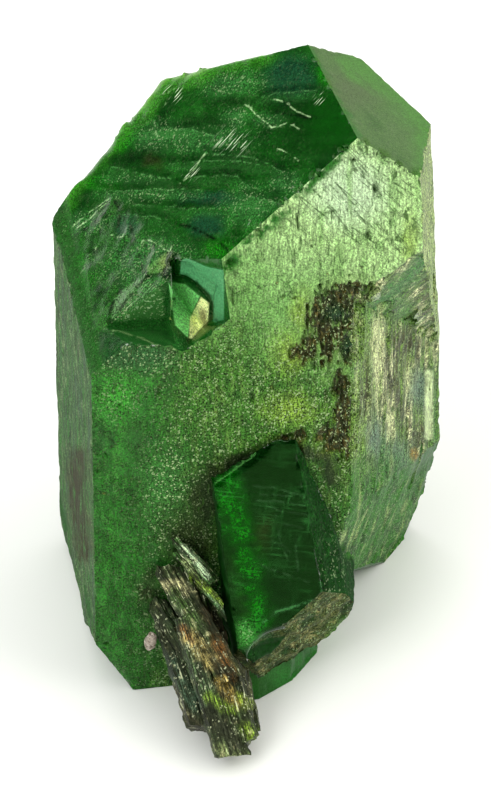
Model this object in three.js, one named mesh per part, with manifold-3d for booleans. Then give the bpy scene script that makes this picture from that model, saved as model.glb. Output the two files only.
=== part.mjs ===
// A chrome diopside crystal: one stout green prism with a roof-shaped top, a smaller crystal grown on its
// front face, a bunch of striated amphibole blades at its foot and one pale grain beside them.
// Millimetres, +Z up. While it is built, X runs along the front face from its left edge, Y goes back into
// the crystal and Z is the height over the broken base. At the end it is centred over the origin.
import * as THREE from "three";
import { mergeVertices } from "three/addons/utils/BufferGeometryUtils.js";
import Module from "manifold-3d";

const wasm = await Module();
wasm.setup();

const at = (x, y, z) => new THREE.Vector3(x, y, z);

// Driving dimensions of the main crystal: the corners that its flat faces pass through.
const FRONT_LEFT = at(0, 0, 22.5);
const FRONT_PEAK = at(14.2, 0, 36.4);
const FRONT_RIGHT = at(17.6, 0, 33.4);
const RIDGE_BACK = at(13.3, 9.8, 35.5);
const RIGHT_TOP = at(20.0, 9.5, 29.6);
const RIGHT_MIDDLE = at(20.8, 9.5, 13.0);
const BACK_RIGHT = at(16.7, 13.1, 31.9);
const BACK_CREST = at(6.4, 17.0, 28.8);
const BACK_LEFT = at(0, 14.0, 22.5);
const DEPTH = 17.0;

// The slab that broke off the right of the front face: a steep upper part, an undercut lower part, and the
// ramp that ends them at the top.
const SLAB_ON_FRONT_HIGH = at(14.2, 0, 24.0);
const SLAB_ON_FRONT_LOW = at(14.1, 0, 14.0);
const SLAB_ON_RIGHT = at(20.8, 9.6, 12.0);
const UNDERCUT_ON_FRONT = at(13.8, 0, 10.0);
const UNDERCUT_ON_RIGHT = at(20.75, 9.7, 7.0);
const UNDERCUT_AT_BASE = at(18.6, 9.6, 0);
const RAMP_LOW = at(15.1, 0, 26.4);
const RAMP_HIGH = at(17.0, 0, 27.9);
const RAMP_BACK = at(15.5, 1.9, 23.4);

// How far apart two grown-together pieces are kept.
const CONTACT_GAP = 0.3;

// The blades end this far above the surface that the crystal stands on.
const BLADE_CLEARANCE = 0.35;

// A block this large reaches past the whole specimen, from a place in the middle of it.
const REACH = 60;
const MIDDLE = at(10, 8, 16);

const COLORS = { main: 0x0d4a1a, side: 0x1c6b22, blades: 0x5b5a3a, grain: 0xb9ac98 };

// A half-space is a THREE.Plane whose normal points away from the material that it bounds.
function through(a, b, c, outward) {
  const plane = new THREE.Plane().setFromCoplanarPoints(a, b, c);
  return plane.normal.dot(outward) < 0 ? plane.negate() : plane;
}

function facing(normal, point) {
  return new THREE.Plane().setFromNormalAndCoplanarPoint(normal.clone().normalize(), point);
}

function offset(plane, distance) {
  return new THREE.Plane(plane.normal.clone(), plane.constant - distance);
}

function solidOf(geometry) {
  const bare = geometry.clone();
  bare.deleteAttribute("normal");
  bare.deleteAttribute("uv");
  const merged = mergeVertices(bare, 1e-4);
  return new wasm.Manifold(
    new wasm.Mesh({
      numProp: 3,
      vertProperties: merged.attributes.position.array,
      triVerts: new Uint32Array(merged.index.array),
    }),
  );
}

// A block that fills the outer side of a plane.
function beyond(plane) {
  const block = new THREE.BoxGeometry(2 * REACH, 2 * REACH, REACH);
  block.translate(0, 0, REACH / 2);
  block.applyQuaternion(new THREE.Quaternion().setFromUnitVectors(at(0, 0, 1), plane.normal));
  block.translate(...plane.projectPoint(MIDDLE, at(0, 0, 0)).toArray());
  return solidOf(block);
}

// The convex body inside all the planes, grown outwards by grow.
function crystal(planes, grow = 0) {
  const block = new THREE.BoxGeometry(REACH, REACH, REACH);
  block.translate(...MIDDLE.toArray());
  return planes.reduce((body, plane) => body.subtract(beyond(offset(plane, grow))), solidOf(block));
}

// The wedge outside all the planes, with each face moved back by shrink, ready to be cut from a crystal.
function wedge(planes, shrink = 0) {
  return crystal(planes.map((plane) => offset(plane, shrink).negate()));
}

function joined(solids) {
  return solids.reduce((all, one) => all.add(one));
}

function cutFrom(solid, cutters) {
  return cutters.reduce((left, cutter) => left.subtract(cutter), solid);
}

function meshOf(name, solid, color, roughness) {
  const { vertProperties, triVerts, numProp } = solid.getMesh();
  const positions = new Float32Array((vertProperties.length / numProp) * 3);
  for (let i = 0; i < positions.length / 3; i++) {
    positions.set(vertProperties.subarray(i * numProp, i * numProp + 3), i * 3);
  }
  const geometry = new THREE.BufferGeometry();
  geometry.setAttribute("position", new THREE.BufferAttribute(positions, 3));
  geometry.setIndex(new THREE.BufferAttribute(new Uint32Array(triVerts), 1));
  geometry.computeVertexNormals();
  const material = new THREE.MeshStandardMaterial({ color, roughness, metalness: 0, flatShading: true });
  const mesh = new THREE.Mesh(geometry, material);
  mesh.name = name;
  return mesh;
}

// A repeatable stream of numbers from 0 to 1, for spacing that shouldn't look even.
function scatter(seed) {
  let state = seed;
  return () => {
    state = (state * 16807) % 2147483647;
    return state / 2147483647;
  };
}

const FACES = {
  front: facing(at(0, -1, 0), at(0, 0, 0)),
  left: facing(at(-1, 0, 0), at(0, 0, 0)),
  right: through(FRONT_RIGHT, RIGHT_TOP, RIGHT_MIDDLE, at(1, 0, 0)),
  backRight: through(RIGHT_TOP, RIGHT_MIDDLE, BACK_RIGHT, at(1, 1, 0)),
  back: facing(at(0, 1, 0), at(0, DEPTH, 0)),
  backLeft: facing(at(-0.42, 0.91, 0), BACK_LEFT),
  base: facing(at(0, 0, -1), at(0, 0, 0)),
  roofLeft: through(FRONT_LEFT, BACK_LEFT, FRONT_PEAK, at(-1, 0, 1)),
  roofRight: through(FRONT_PEAK, FRONT_RIGHT, RIDGE_BACK, at(1, 0, 1)),
  roofBack: through(RIDGE_BACK, BACK_RIGHT, BACK_CREST, at(0, 1, 1)),
};

const SLAB = through(SLAB_ON_FRONT_HIGH, SLAB_ON_FRONT_LOW, SLAB_ON_RIGHT, at(1, -1, 0));
const UNDERCUT = through(UNDERCUT_ON_FRONT, UNDERCUT_ON_RIGHT, UNDERCUT_AT_BASE, at(1, -1, 0));
const RAMP = through(RAMP_LOW, RAMP_HIGH, RAMP_BACK, at(1, -1, -1));

// Corners that are knocked off, each with three points of the chip and its outward direction.
const CHIPS = [
  through(at(0, 8.0, 0), at(0, 0, 3.6), at(2.0, 0, 0), at(-1, -1, -1)),
  through(at(0, 12.0, 1.6), at(0, 5.0, 2.4), at(0.45, 8.0, 0), at(-1, 0, -1)),
  through(at(20.6, 9.6, 4.0), at(19.0, 9.5, 0), at(20.2, 12.5, 2.0), at(1, 0, -1)),
  through(at(0, 13.5, 22.3), at(0.5, 14.4, 23.0), at(0.1, 13.9, 19.0), at(-1, 1, 0)),
  facing(at(-0.3, 0.85, -0.45), at(3.0, 15.4, 2.4)),
  facing(at(0.4, 0.8, -0.4), at(14.0, 16.2, 2.0)),
];

// The hollow under the overhanging lower right corner, closed towards the middle of the base.
const OVERHANG = [
  through(at(17.4, 8.1, 0.2), at(15.3, 5.3, 2.3), at(13.0, 7.2, 0), at(0, -1, -1)),
  facing(at(0.9, 0.35, 0.1), at(14.2, 3.4, 0)),
];

// The broken edge between the front face and the left roof face: a ledge with a steep wall behind it, and
// right of it a deeper pit with flat sides and a V-shaped floor.
const EDGE_LEDGE = [
  through(at(1.0, 2.8, 23.5), at(1.95, 0, 24.3), at(4.6, 0, 23.9), at(0, 0, -1)),
  through(at(1.2, 2.6, 23.7), at(4.5, 1.8, 26.9), at(4.7, 2.1, 24.0), at(0, 1, 0)),
  facing(at(1, 0.1, 0), at(4.6, 0, 25)),
];
const EDGE_PIT = [
  through(at(5.3, 2.5, 27.7), at(7.05, 0.1, 28.4), at(7.25, 0.35, 24.9), at(1, 1, 0)),
  facing(at(-1, 0.12, 0.05), at(4.4, 0, 26)),
  through(at(4.9, 0, 23.4), at(7.2, 0, 25.1), at(5.5, 1.2, 23.3), at(0, 0, -1)),
  through(at(4.9, 0, 23.4), at(4.2, 0, 24.0), at(4.7, 1.2, 24.2), at(0, 0, -1)),
];
const EDGE_PIT_HEART = [
  facing(at(0.62, 0.72, -0.1), at(6.1, 2.0, 26.0)),
  facing(at(0.62, 0.2, 0.75), at(6.3, 1.0, 27.3)),
  facing(at(0.95, -0.1, -0.1), at(6.75, 1.0, 26.0)),
  facing(at(0.4, 0.1, -0.9), at(6.4, 1.0, 24.4)),
  facing(at(-0.5, 0.1, -0.85), at(5.2, 1.0, 24.3)),
  facing(at(-0.95, 0.1, 0.1), at(4.75, 1.0, 26.0)),
  facing(at(-0.5, 0.1, 0.85), at(5.2, 1.0, 27.6)),
];

// Shallow shell-shaped scars: a point on the surface, its face, and the scar's radius and depth.
const SCARS = [
  { spot: at(1.3, 5.8, 23.8), face: "roofLeft", radius: 2.0, depth: 0.28 },
  { spot: at(3.4, 4.0, 25.8), face: "roofLeft", radius: 1.5, depth: 0.4 },
  { spot: at(2.2, 10.6, 24.7), face: "roofLeft", radius: 1.7, depth: 0.16 },
  { spot: at(6.6, 14.6, 29.0), face: "roofLeft", radius: 1.9, depth: 0.3 },
  { spot: at(8.2, 15.4, 30.2), face: "roofLeft", radius: 1.1, depth: 0.5 },
  { spot: at(4.2, 15.9, 26.6), face: "roofLeft", radius: 0.9, depth: 0.45 },
  { spot: at(1.2, 14.6, 23.7), face: "roofLeft", radius: 0.8, depth: 0.35 },
  { spot: at(2.6, 0, 2.0), face: "front", radius: 2.0, depth: 0.4 },
  { spot: at(0, 3.0, 5.2), face: "left", radius: 1.8, depth: 0.25 },
  { spot: at(0, 12.6, 4.0), face: "left", radius: 2.2, depth: 0.4 },
  { spot: at(17.6, 5.6, 8.4), face: "slab", radius: 2.6, depth: 0.5 },
  { spot: at(19.4, 8.4, 3.6), face: "undercut", radius: 1.6, depth: 0.4 },
  { spot: at(16.0, 4.8, 3.8), face: "undercut", radius: 1.9, depth: 0.35 },
  { spot: at(9.4, 17.0, 20.0), face: "back", radius: 4.2, depth: 0.5 },
  { spot: at(6.8, 17.0, 9.0), face: "back", radius: 3.4, depth: 0.45 },
  { spot: at(18.4, 11.2, 18.0), face: "backRight", radius: 2.4, depth: 0.35 },
  { spot: at(12.0, 14.6, 30.2), face: "roofBack", radius: 2.2, depth: 0.35 },
];

function faceCalled(name) {
  return { ...FACES, slab: SLAB, undercut: UNDERCUT }[name];
}

// How finely a scar's sphere is divided, so that each scar has a few dozen facets whatever its size.
const RINGS_PER_SCAR = 1.7;

// A big sphere that only grazes the surface leaves a scar of the wanted radius and depth.
function scar({ spot, face, radius, depth }) {
  const size = (radius * radius + depth * depth) / (2 * depth);
  const plane = faceCalled(face);
  const centre = plane.projectPoint(spot, at(0, 0, 0)).addScaledVector(plane.normal, size - depth);
  const rings = Math.ceil(RINGS_PER_SCAR * Math.sqrt(size / depth));
  const ball = new THREE.IcosahedronGeometry(size, rings);
  ball.translate(...centre.toArray());
  return solidOf(ball);
}

// A straight V-groove along a face: middle, its face, the direction that it runs in, and its size.
function groove({ middle, plane, along, length, width, depth }) {
  const run = along.clone().projectOnPlane(plane.normal).normalize();
  const section = new THREE.Shape([
    new THREE.Vector2(-width, width),
    new THREE.Vector2(0, -depth),
    new THREE.Vector2(width * 0.6, width),
  ]);
  const bar = new THREE.ExtrudeGeometry(section, { depth: length, bevelEnabled: false });
  bar.translate(0, 0, -length / 2);
  const side = new THREE.Vector3().crossVectors(plane.normal, run);
  bar.applyMatrix4(new THREE.Matrix4().makeBasis(side, plane.normal, run));
  bar.translate(...plane.projectPoint(middle, at(0, 0, 0)).toArray());
  return solidOf(bar);
}

// Rows of grooves that follow the prism's length: each row's face, the line that its middles lie on, how
// many there are, and their length, half width and depth.
const GROOVE_ROWS = [
  ["right", at(18.0, 1.6, 27), at(19.9, 8.8, 24), { count: 6, length: 9, width: 0.22, depth: 0.22 }],
  ["slab", at(14.6, 0.6, 20), at(20.3, 8.8, 16), { count: 12, length: 9, width: 0.3, depth: 0.3 }],
  ["undercut", at(13.8, 0.8, 8), at(19.6, 8.6, 7), { count: 6, length: 5, width: 0.28, depth: 0.22 }],
  ["left", at(0, 1.4, 11), at(0, 12.8, 13), { count: 7, length: 14, width: 0.2, depth: 0.16 }],
  ["back", at(3, DEPTH, 14), at(13, DEPTH, 17), { count: 6, length: 15, width: 0.24, depth: 0.2 }],
  ["backRight", at(19.6, 10.6, 14), at(14.4, 16.2, 16), { count: 6, length: 15, width: 0.24, depth: 0.2 }],
];

function grooveRow([face, from, to, { count, length, width, depth }], random) {
  return Array.from({ length: count }, (_, i) =>
    groove({
      middle: from
        .clone()
        .lerp(to, (i + 0.2 + 0.6 * random()) / count)
        .add(at(0, 0, (random() - 0.5) * length * 0.5)),
      plane: faceCalled(face),
      along: at((random() - 0.5) * 0.06, (random() - 0.5) * 0.06, 1),
      length: length * (0.6 + 0.6 * random()),
      width: width * (0.7 + 0.7 * random()),
      depth: depth * (0.6 + 0.7 * random()),
    }),
  );
}

// The rusty patches beside the broken slab: short deep slots that stand close together.
const RUSTY_PATCHES = [
  { middle: at(11.7, 0, 23.4), half: at(1.5, 0, 1.1), count: 6 },
  { middle: at(13.4, 0, 24.2), half: at(0.7, 0, 1.6), count: 5 },
  { middle: at(13.1, 0, 18.6), half: at(0.6, 0, 2.4), count: 6 },
];

function rustySlots({ middle, half, count }, random) {
  return Array.from({ length: count }, (_, i) => {
    const across = ((2 * i) / (count - 1) - 1) * half.x;
    const up = (2 * random() - 1) * half.z;
    return groove({
      middle: middle.clone().add(at(across, 0, up)),
      plane: FACES.front,
      along: at((random() - 0.5) * 0.2, 0, 1),
      length: 1.6 + 1.6 * random(),
      width: 0.26 + 0.14 * random(),
      depth: 0.28 + 0.22 * random(),
    });
  });
}

// Thin growth steps that the roof faces carry: each removes a film beyond a line across a face.
const STEPS = [
  { face: "roofLeft", spot: at(2.2, 5.8, 24.7), towards: at(-0.9, -0.35, -0.5), film: 0.16 },
  { face: "roofLeft", spot: at(7.6, 14.2, 29.9), towards: at(-0.3, 1, 0), film: 0.2 },
];

function step({ face, spot, towards, film }) {
  const plane = faceCalled(face);
  const foot = plane.projectPoint(spot, at(0, 0, 0));
  const lean = towards.clone().projectOnPlane(plane.normal).addScaledVector(plane.normal, 0.5);
  const wall = facing(lean, foot);
  return wedge([offset(plane, -film), wall]);
}

// The lobe at the foot of the front face, under the smaller crystal.
const FOOT_LOBE = [
  facing(at(0.05, -1, 0.2), at(8.5, -1.9, 0)),
  facing(at(0.51, -0.86, 0.15), at(9.8, -1.25, 0)),
  facing(at(0.765, -0.644, 0.1), at(12.2, 1.0, 0)),
  facing(at(-0.8, -0.5, 0.1), at(6.6, -1.2, 0)),
  facing(at(0.2, -0.6, 1), at(10, -0.8, 3.4)),
  facing(at(0, 0, -1), at(0, 0, 0)),
  facing(at(0, 1, 0), at(0, 5, 0)),
  facing(at(1, 0, 0), at(13.4, 0, 2)),
];

const mainFaces = Object.values(FACES);

// The front slab is what lies beyond its own plane, or the undercut, and also below the ramp.
function brokenSlab(shrink = 0) {
  return wedge([SLAB, RAMP], shrink).add(wedge([UNDERCUT, RAMP], shrink));
}

function mainCrystal() {
  const random = scatter(41);
  const body = crystal(mainFaces).subtract(brokenSlab());
  const withFoot = body.add(crystal(FOOT_LOBE));
  return cutFrom(withFoot, [
    ...CHIPS.map(beyond),
    wedge(OVERHANG),
    crystal(EDGE_LEDGE),
    crystal(EDGE_PIT),
    crystal(EDGE_PIT_HEART),
    ...SCARS.map(scar),
    ...STEPS.map(step),
    ...GROOVE_ROWS.flatMap((row) => grooveRow(row, random)),
    ...RUSTY_PATCHES.flatMap((patch) => rustySlots(patch, random)),
  ]);
}

// What a neighbour has to stay out of: the main crystal's plain body, grown by the gap.
function keptClearOfMain() {
  const body = crystal(mainFaces, CONTACT_GAP).subtract(brokenSlab(CONTACT_GAP));
  return body.add(crystal(FOOT_LOBE, CONTACT_GAP));
}

// The smaller crystal: corners on its glossy face, then its facets.
const SIDE_TOP_LEFT = at(6.4, -0.87, 14.76);
const SIDE_TOP = at(9.3, -0.39, 16.6);
const SIDE_TOP_RIGHT = at(11.0, -0.37, 16.85);
const SIDE_LOW_RIGHT = at(12.03, -3.1, 8.3);
const SIDE_LOW_MIDDLE = at(9.4, -3.3, 7.4);
const SIDE_LOW_LEFT = at(7.2, -3.8, 5.6);

const SIDE_FACES = [
  through(SIDE_TOP_LEFT, SIDE_TOP_RIGHT, SIDE_LOW_MIDDLE, at(0, -1, 0)),
  through(SIDE_TOP_LEFT, SIDE_LOW_LEFT, at(6.3, 1.5, 13.5), at(-1, 0, 0)),
  through(SIDE_TOP_LEFT, SIDE_TOP, at(7.2, 2, 15.6), at(-1, 0, 1)),
  facing(at(0.1, -0.1, 1), SIDE_TOP_RIGHT),
  through(at(11.25, -1.1, 14.5), SIDE_LOW_RIGHT, at(13.3, -0.6, 9.7), at(1, -0.4, 0)),
  through(at(12.35, -0.5, 13.5), at(13.6, -0.6, 8.1), at(14.6, 1.4, 6.4), at(1, -0.2, 0)),
  through(at(7.9, -3.95, 5.2), SIDE_LOW_RIGHT, at(11.6, -1.5, 3.7), at(0, -0.5, -1)),
  facing(at(1, -0.15, -0.05), at(14.6, 1.4, 6.4)),
  facing(at(-0.6, -0.6, -0.5), at(7.4, -3.7, 5.2)),
  facing(at(0.2, 0.2, -1), at(10, 0, 2.2)),
  facing(at(0, 1, 0), at(0, 5.0, 0)),
];

// The scoop out of its broken lower end.
const SIDE_SCOOP = { centre: at(9.6, -5.2, 4.6), radius: 2.5 };

const SIDE_NOTCHES = [
  facing(at(1, -0.5, -0.7), at(14.0, -1.2, 4.4)),
  facing(at(0.35, -1, 0.5), at(11.9, -0.9, 15.2)),
];

function sideCrystal() {
  const random = scatter(7);
  const glossy = SIDE_FACES[0];
  const lines = Array.from({ length: 4 }, (_, i) =>
    groove({
      middle: at(9.4 + 1.1 * random(), -3, 14 - 2.0 * i),
      plane: glossy,
      along: at(1, 0, -0.15),
      length: 2 + 2 * random(),
      width: 0.1,
      depth: 0.07,
    }),
  );
  const scoop = new THREE.IcosahedronGeometry(SIDE_SCOOP.radius, 5);
  scoop.translate(...SIDE_SCOOP.centre.toArray());
  const cutters = [keptClearOfMain(), ...SIDE_NOTCHES.map(beyond), solidOf(scoop), ...lines];
  return cutFrom(crystal(SIDE_FACES), cutters);
}

// The blades: each runs from its root on the front face to its broken tip.
const BLADES = [
  { root: at(3.6, 0.9, 11.6), tip: at(6.4, -1.6, 8.4), width: 1.15, thick: 0.75, roll: 20 },
  { root: at(4.0, 0.5, 10.2), tip: at(7.05, -3.0, 6.9), width: 0.6, thick: 0.65, roll: -10 },
  { root: at(3.6, 0.6, 9.0), tip: at(6.7, -4.9, 4.4), width: 1.5, thick: 1.4, roll: 35 },
  { root: at(3.0, 1.0, 6.9), tip: at(5.0, -3.0, 4.0), width: 1.4, thick: 1.5, roll: 10 },
  { root: at(4.0, -0.6, 5.2), tip: at(5.05, -5.7, 1.7), width: 1.7, thick: 1.5, roll: 25 },
  { root: at(4.9, -1.8, 6.6), tip: at(6.35, -7.3, 0.95), width: 2.1, thick: 1.6, roll: -15 },
  { root: at(7.3, -0.8, 4.7), tip: at(7.7, -5.8, 1.15), width: 1.0, thick: 1.3, roll: 5 },
  { root: at(6.3, -0.6, 6.6), tip: at(7.5, -4.8, 2.0), width: 1.3, thick: 1.2, roll: 50 },
  { root: at(4.9, 0.3, 8.6), tip: at(6.6, -4.6, 3.0), width: 1.3, thick: 1.5, roll: 70 },
  { root: at(6.4, -2.2, 5.4), tip: at(7.25, -6.75, 1.1), width: 1.5, thick: 1.3, roll: 30 },
];

// A ribbed, nearly square section: the ribs run the blade's length.
const SECTION_CORNERS = 16;

function bladeSection(width, thick, random) {
  const corners = Array.from({ length: SECTION_CORNERS }, (_, i) => {
    const turn = (2 * Math.PI * i) / SECTION_CORNERS;
    const rib = i % 2 ? 0.86 + 0.05 * random() : 1 + 0.06 * random();
    const toSquare = 1 / Math.max(Math.abs(Math.cos(turn)), Math.abs(Math.sin(turn)) + 0.25);
    const reach = (rib * Math.min(toSquare, 1.12)) / 2;
    return new THREE.Vector2(width * reach * Math.cos(turn), thick * reach * Math.sin(turn));
  });
  return new THREE.Shape(corners);
}

function blade({ root, tip, width, thick, roll }, random) {
  const axis = tip.clone().sub(root).normalize();
  const section = bladeSection(width, thick, random);
  const bar = new THREE.ExtrudeGeometry(section, { depth: tip.distanceTo(root) + 1.2, bevelEnabled: false });
  bar.rotateZ(THREE.MathUtils.degToRad(roll));
  bar.applyQuaternion(new THREE.Quaternion().setFromUnitVectors(at(0, 0, 1), axis));
  bar.translate(...root.toArray());
  const lean = at(random() - 0.5, random() - 0.5, random() - 0.3).multiplyScalar(0.7);
  const ground = facing(at(0, 0, -1), at(0, 0, BLADE_CLEARANCE));
  return cutFrom(solidOf(bar), [beyond(facing(axis.clone().add(lean), tip)), beyond(ground)]);
}

function bladeCluster() {
  const random = scatter(23);
  const bunch = joined(BLADES.map((one) => blade(one, random)));
  return cutFrom(bunch, [keptClearOfMain(), crystal(SIDE_FACES, CONTACT_GAP)]);
}

// The pale grain: its middle, its half sizes and how far it leans.
const GRAIN = { centre: at(2.78, -1.7, 4.9), half: at(0.36, 0.36, 0.68), lean: 0.2 };

function paleGrain() {
  const lump = new THREE.IcosahedronGeometry(1, 2);
  lump.scale(...GRAIN.half.toArray());
  lump.rotateY(GRAIN.lean);
  lump.translate(...GRAIN.centre.toArray());
  return solidOf(lump);
}

const specimen = new THREE.Group();
specimen.add(
  meshOf("main_crystal", mainCrystal(), COLORS.main, 0.35),
  meshOf("side_crystal", sideCrystal(), COLORS.side, 0.15),
  meshOf("blade_cluster", bladeCluster(), COLORS.blades, 0.55),
  meshOf("pale_grain", paleGrain(), COLORS.grain, 0.7),
);

// The origin is under the middle of the whole specimen, on the surface that it stands on.
const box = new THREE.Box3().setFromObject(specimen);
specimen.position.set(-(box.min.x + box.max.x) / 2, -(box.min.y + box.max.y) / 2, -box.min.z);

export default specimen;
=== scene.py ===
"""A chrome diopside crystal with a smaller crystal and a bunch of blades grown on its front.

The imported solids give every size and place. This script lays a fine skin over each of them, wears and
etches it in mesh code, gives it its finish, and sets up the floor, the lights and the camera.
All shapes are worked out in millimetres in the crystal's own frame: X runs along the front face from its
left edge, Y goes back into the crystal and Z is the height over the surface that it stands on.
"""

import math

import bmesh
import bpy
import numpy as np
from mathutils import Matrix, Vector
from mathutils.geometry import delaunay_2d_cdt
from mathutils.kdtree import KDTree


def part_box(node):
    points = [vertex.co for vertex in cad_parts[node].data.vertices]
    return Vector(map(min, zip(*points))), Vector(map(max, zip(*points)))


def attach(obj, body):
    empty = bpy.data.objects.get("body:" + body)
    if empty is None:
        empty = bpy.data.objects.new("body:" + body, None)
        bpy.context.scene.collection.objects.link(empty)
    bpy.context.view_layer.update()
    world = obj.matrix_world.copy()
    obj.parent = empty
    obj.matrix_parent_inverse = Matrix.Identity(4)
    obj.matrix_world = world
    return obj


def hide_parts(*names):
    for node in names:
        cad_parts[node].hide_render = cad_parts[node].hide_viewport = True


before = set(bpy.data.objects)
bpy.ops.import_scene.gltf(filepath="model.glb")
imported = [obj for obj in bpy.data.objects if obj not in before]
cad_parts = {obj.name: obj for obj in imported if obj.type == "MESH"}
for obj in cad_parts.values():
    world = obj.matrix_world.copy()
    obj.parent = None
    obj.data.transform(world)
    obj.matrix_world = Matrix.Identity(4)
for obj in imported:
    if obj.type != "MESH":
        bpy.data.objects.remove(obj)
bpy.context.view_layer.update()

MM = 0.001

# The main crystal's left face is X = 0 and its back face is Y = DEPTH.
DEPTH = 17.0
main_low, main_high = (np.array(corner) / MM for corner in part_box("main_crystal"))
ORIGIN = np.array([main_low[0], main_high[1] - DEPTH, 0.0])


def to_frame(points):
    """Millimetres in the crystal's own frame to metres in the row frame."""
    return (np.asarray(points, float) + ORIGIN) * MM


def unit(vector):
    vector = np.asarray(vector, float)
    return vector / np.linalg.norm(vector)


# The photograph's camera: it looks down at 39 degrees, from 9.5 degrees left of the front face's normal.
ELEVATION = math.radians(39.0)
AZIMUTH = math.radians(9.5)
CAMERA_DISTANCE = 385.0
PIXELS_PER_MM = 18.2
PICTURE_WIDTH = 491
PICTURE_HEIGHT = 800
SENSOR = 36.0
AIM = np.array([9.752, 8.675, 12.554])
TO_CAMERA = np.array([
    -math.sin(AZIMUTH) * math.cos(ELEVATION), -math.cos(AZIMUTH) * math.cos(ELEVATION), math.sin(ELEVATION)
])
PICTURE_RIGHT = unit(np.cross([0, 0, 1], TO_CAMERA))
PICTURE_UP = np.cross(TO_CAMERA, PICTURE_RIGHT)


def link(obj):
    bpy.context.scene.collection.objects.link(obj)
    return obj


def add_camera():
    data = bpy.data.cameras.new("camera")
    data.sensor_width = SENSOR
    data.lens = PIXELS_PER_MM * CAMERA_DISTANCE * SENSOR / PICTURE_HEIGHT
    data.clip_start = 0.01
    camera = link(bpy.data.objects.new("camera", data))
    camera.location = to_frame(AIM + CAMERA_DISTANCE * TO_CAMERA)
    camera.rotation_euler = Vector(TO_CAMERA).to_track_quat("Z", "Y").to_euler()
    bpy.context.scene.camera = camera


def in_picture(points):
    """Where the photograph shows points, in its pixels across and down."""
    away = points - AIM - CAMERA_DISTANCE * TO_CAMERA
    scale = PIXELS_PER_MM * CAMERA_DISTANCE / -(away @ TO_CAMERA)
    across = PICTURE_WIDTH / 2 + scale * (away @ PICTURE_RIGHT)
    down = PICTURE_HEIGHT / 2 - scale * (away @ PICTURE_UP)
    return np.stack([across, down], axis=1)


def seen_on_plane(pixels, place, normal):
    """Where the lines of sight through pixels of the photograph meet a plane."""
    middle = (PICTURE_WIDTH / 2, PICTURE_HEIGHT / 2)
    offset = (np.asarray(pixels, float) - middle) / (PIXELS_PER_MM * CAMERA_DISTANCE)
    sight = offset[:, :1] * PICTURE_RIGHT - offset[:, 1:] * PICTURE_UP - TO_CAMERA
    eye = AIM + CAMERA_DISTANCE * TO_CAMERA
    return eye + sight * ((place - eye) @ normal / (sight @ normal))[:, None]


def smooth(low, high, x):
    t = np.clip((x - low) / (high - low), 0, 1)
    return t * t * (3 - 2 * t)


def linear(color):
    """A screen colour from 0 to 255 as light."""
    c = np.array(color) / 255
    return np.where(c <= 0.04045, c / 12.92, ((c + 0.055) / 1.055) ** 2.4)


def distance_to(points, route):
    """The distance from points to a route of straight stretches."""
    best = np.full(len(points), np.inf)
    for start, end in zip(route, route[1:]):
        start, run = np.array(start, float), np.subtract(end, start)
        share = np.clip((points - start) @ run / (run @ run), 0, 1)
        best = np.minimum(best, np.linalg.norm(points - start - share[:, None] * run, axis=1))
    return best


def spot(points, middle, radii, edge=0.5):
    """1 inside an ellipse or ellipsoid, fading to 0 outside it."""
    reach = np.linalg.norm((points - np.array(middle)) / np.array(radii), axis=1)
    return 1 - smooth(1 - edge, 1 + edge, reach)


def spots(points, places, edge=0.5):
    return np.max([spot(points, middle, radii, edge) for middle, radii in places], axis=0)


def streak(points, route, width, edge=0.5):
    """1 on a route, fading to 0 beyond width on each side."""
    return 1 - smooth(width * (1 - edge), width * (1 + edge), distance_to(points, route))


def streaks(points, routes, width, edge=0.5):
    return np.max([streak(points, route, width, edge) for route in routes], axis=0)


def outline(points, corners, edge):
    """1 inside a flat outline, fading to 0 over edge on both sides of its line."""
    closed = [*corners, corners[0]]
    inside = np.zeros(len(points), bool)
    for (x0, y0), (x1, y1) in zip(closed, closed[1:]):
        spans = (y0 > points[:, 1]) != (y1 > points[:, 1])
        inside ^= spans & (points[:, 0] < x0 + (points[:, 1] - y0) / ((y1 - y0) or 1) * (x1 - x0))
    reach = distance_to(points, closed)
    return smooth(-edge, edge, np.where(inside, reach, -reach))


class Noise:
    """Repeatable gradient noise on arrays of points."""

    def __init__(self, seed):
        rng = np.random.default_rng(seed)
        self.order = np.concatenate([rng.permutation(256)] * 3)
        turns = rng.normal(size=(256, 3))
        self.slopes = turns / np.linalg.norm(turns, axis=1, keepdims=True)

    def code(self, cell):
        x, y, z = (cell & 255).T
        return self.order[self.order[self.order[x] + y] + z]

    def __call__(self, points, size):
        """From about -1 to 1, with bumps about size wide. size may be one number or three."""
        q = np.asarray(points, float) / np.asarray(size, float)
        cell = np.floor(q).astype(int)
        part = q - cell
        ease = part * part * part * (part * (part * 6 - 15) + 10)
        total = 0.0
        for corner in np.ndindex(2, 2, 2):
            step = np.array(corner)
            weight = np.prod(np.where(step, ease, 1 - ease), axis=1)
            total = total + weight * np.einsum("ij,ij->i", self.slopes[self.code(cell + step)], part - step)
        return total * 1.6

    def layered(self, points, size, layers=4, fade=0.5):
        size = np.asarray(size, float)
        heights = [fade**i * self(points + 17.3 * i, size / 2**i) for i in range(layers)]
        return sum(heights) / sum(fade**i for i in range(layers))

    def share(self, points, size, low, high, layers=3):
        """From 0 to 1: where the layered noise goes from low to high."""
        return smooth(low, high, self.layered(points, size, layers))

    def scoops(self, points, size, tilt=0.7):
        """Scoops with sharp ridges between them, from about -1 at their floors to 0 at the ridges."""
        q = np.asarray(points, float) / np.asarray(size, float)
        cell = np.floor(q).astype(int)
        lowest = np.full(len(q), np.inf)
        for corner in np.ndindex(3, 3, 3):
            near = cell + np.array(corner) - 1
            code = self.code(near)
            gap = q - (near + 0.5 + 0.45 * self.slopes[code])
            lean = self.slopes[(code + 77) % 256]
            lowest = np.minimum(lowest, (gap**2).sum(1) + tilt * (gap * lean).sum(1))
        return np.clip(lowest, -0.4, 0.6) - 0.6


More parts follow.
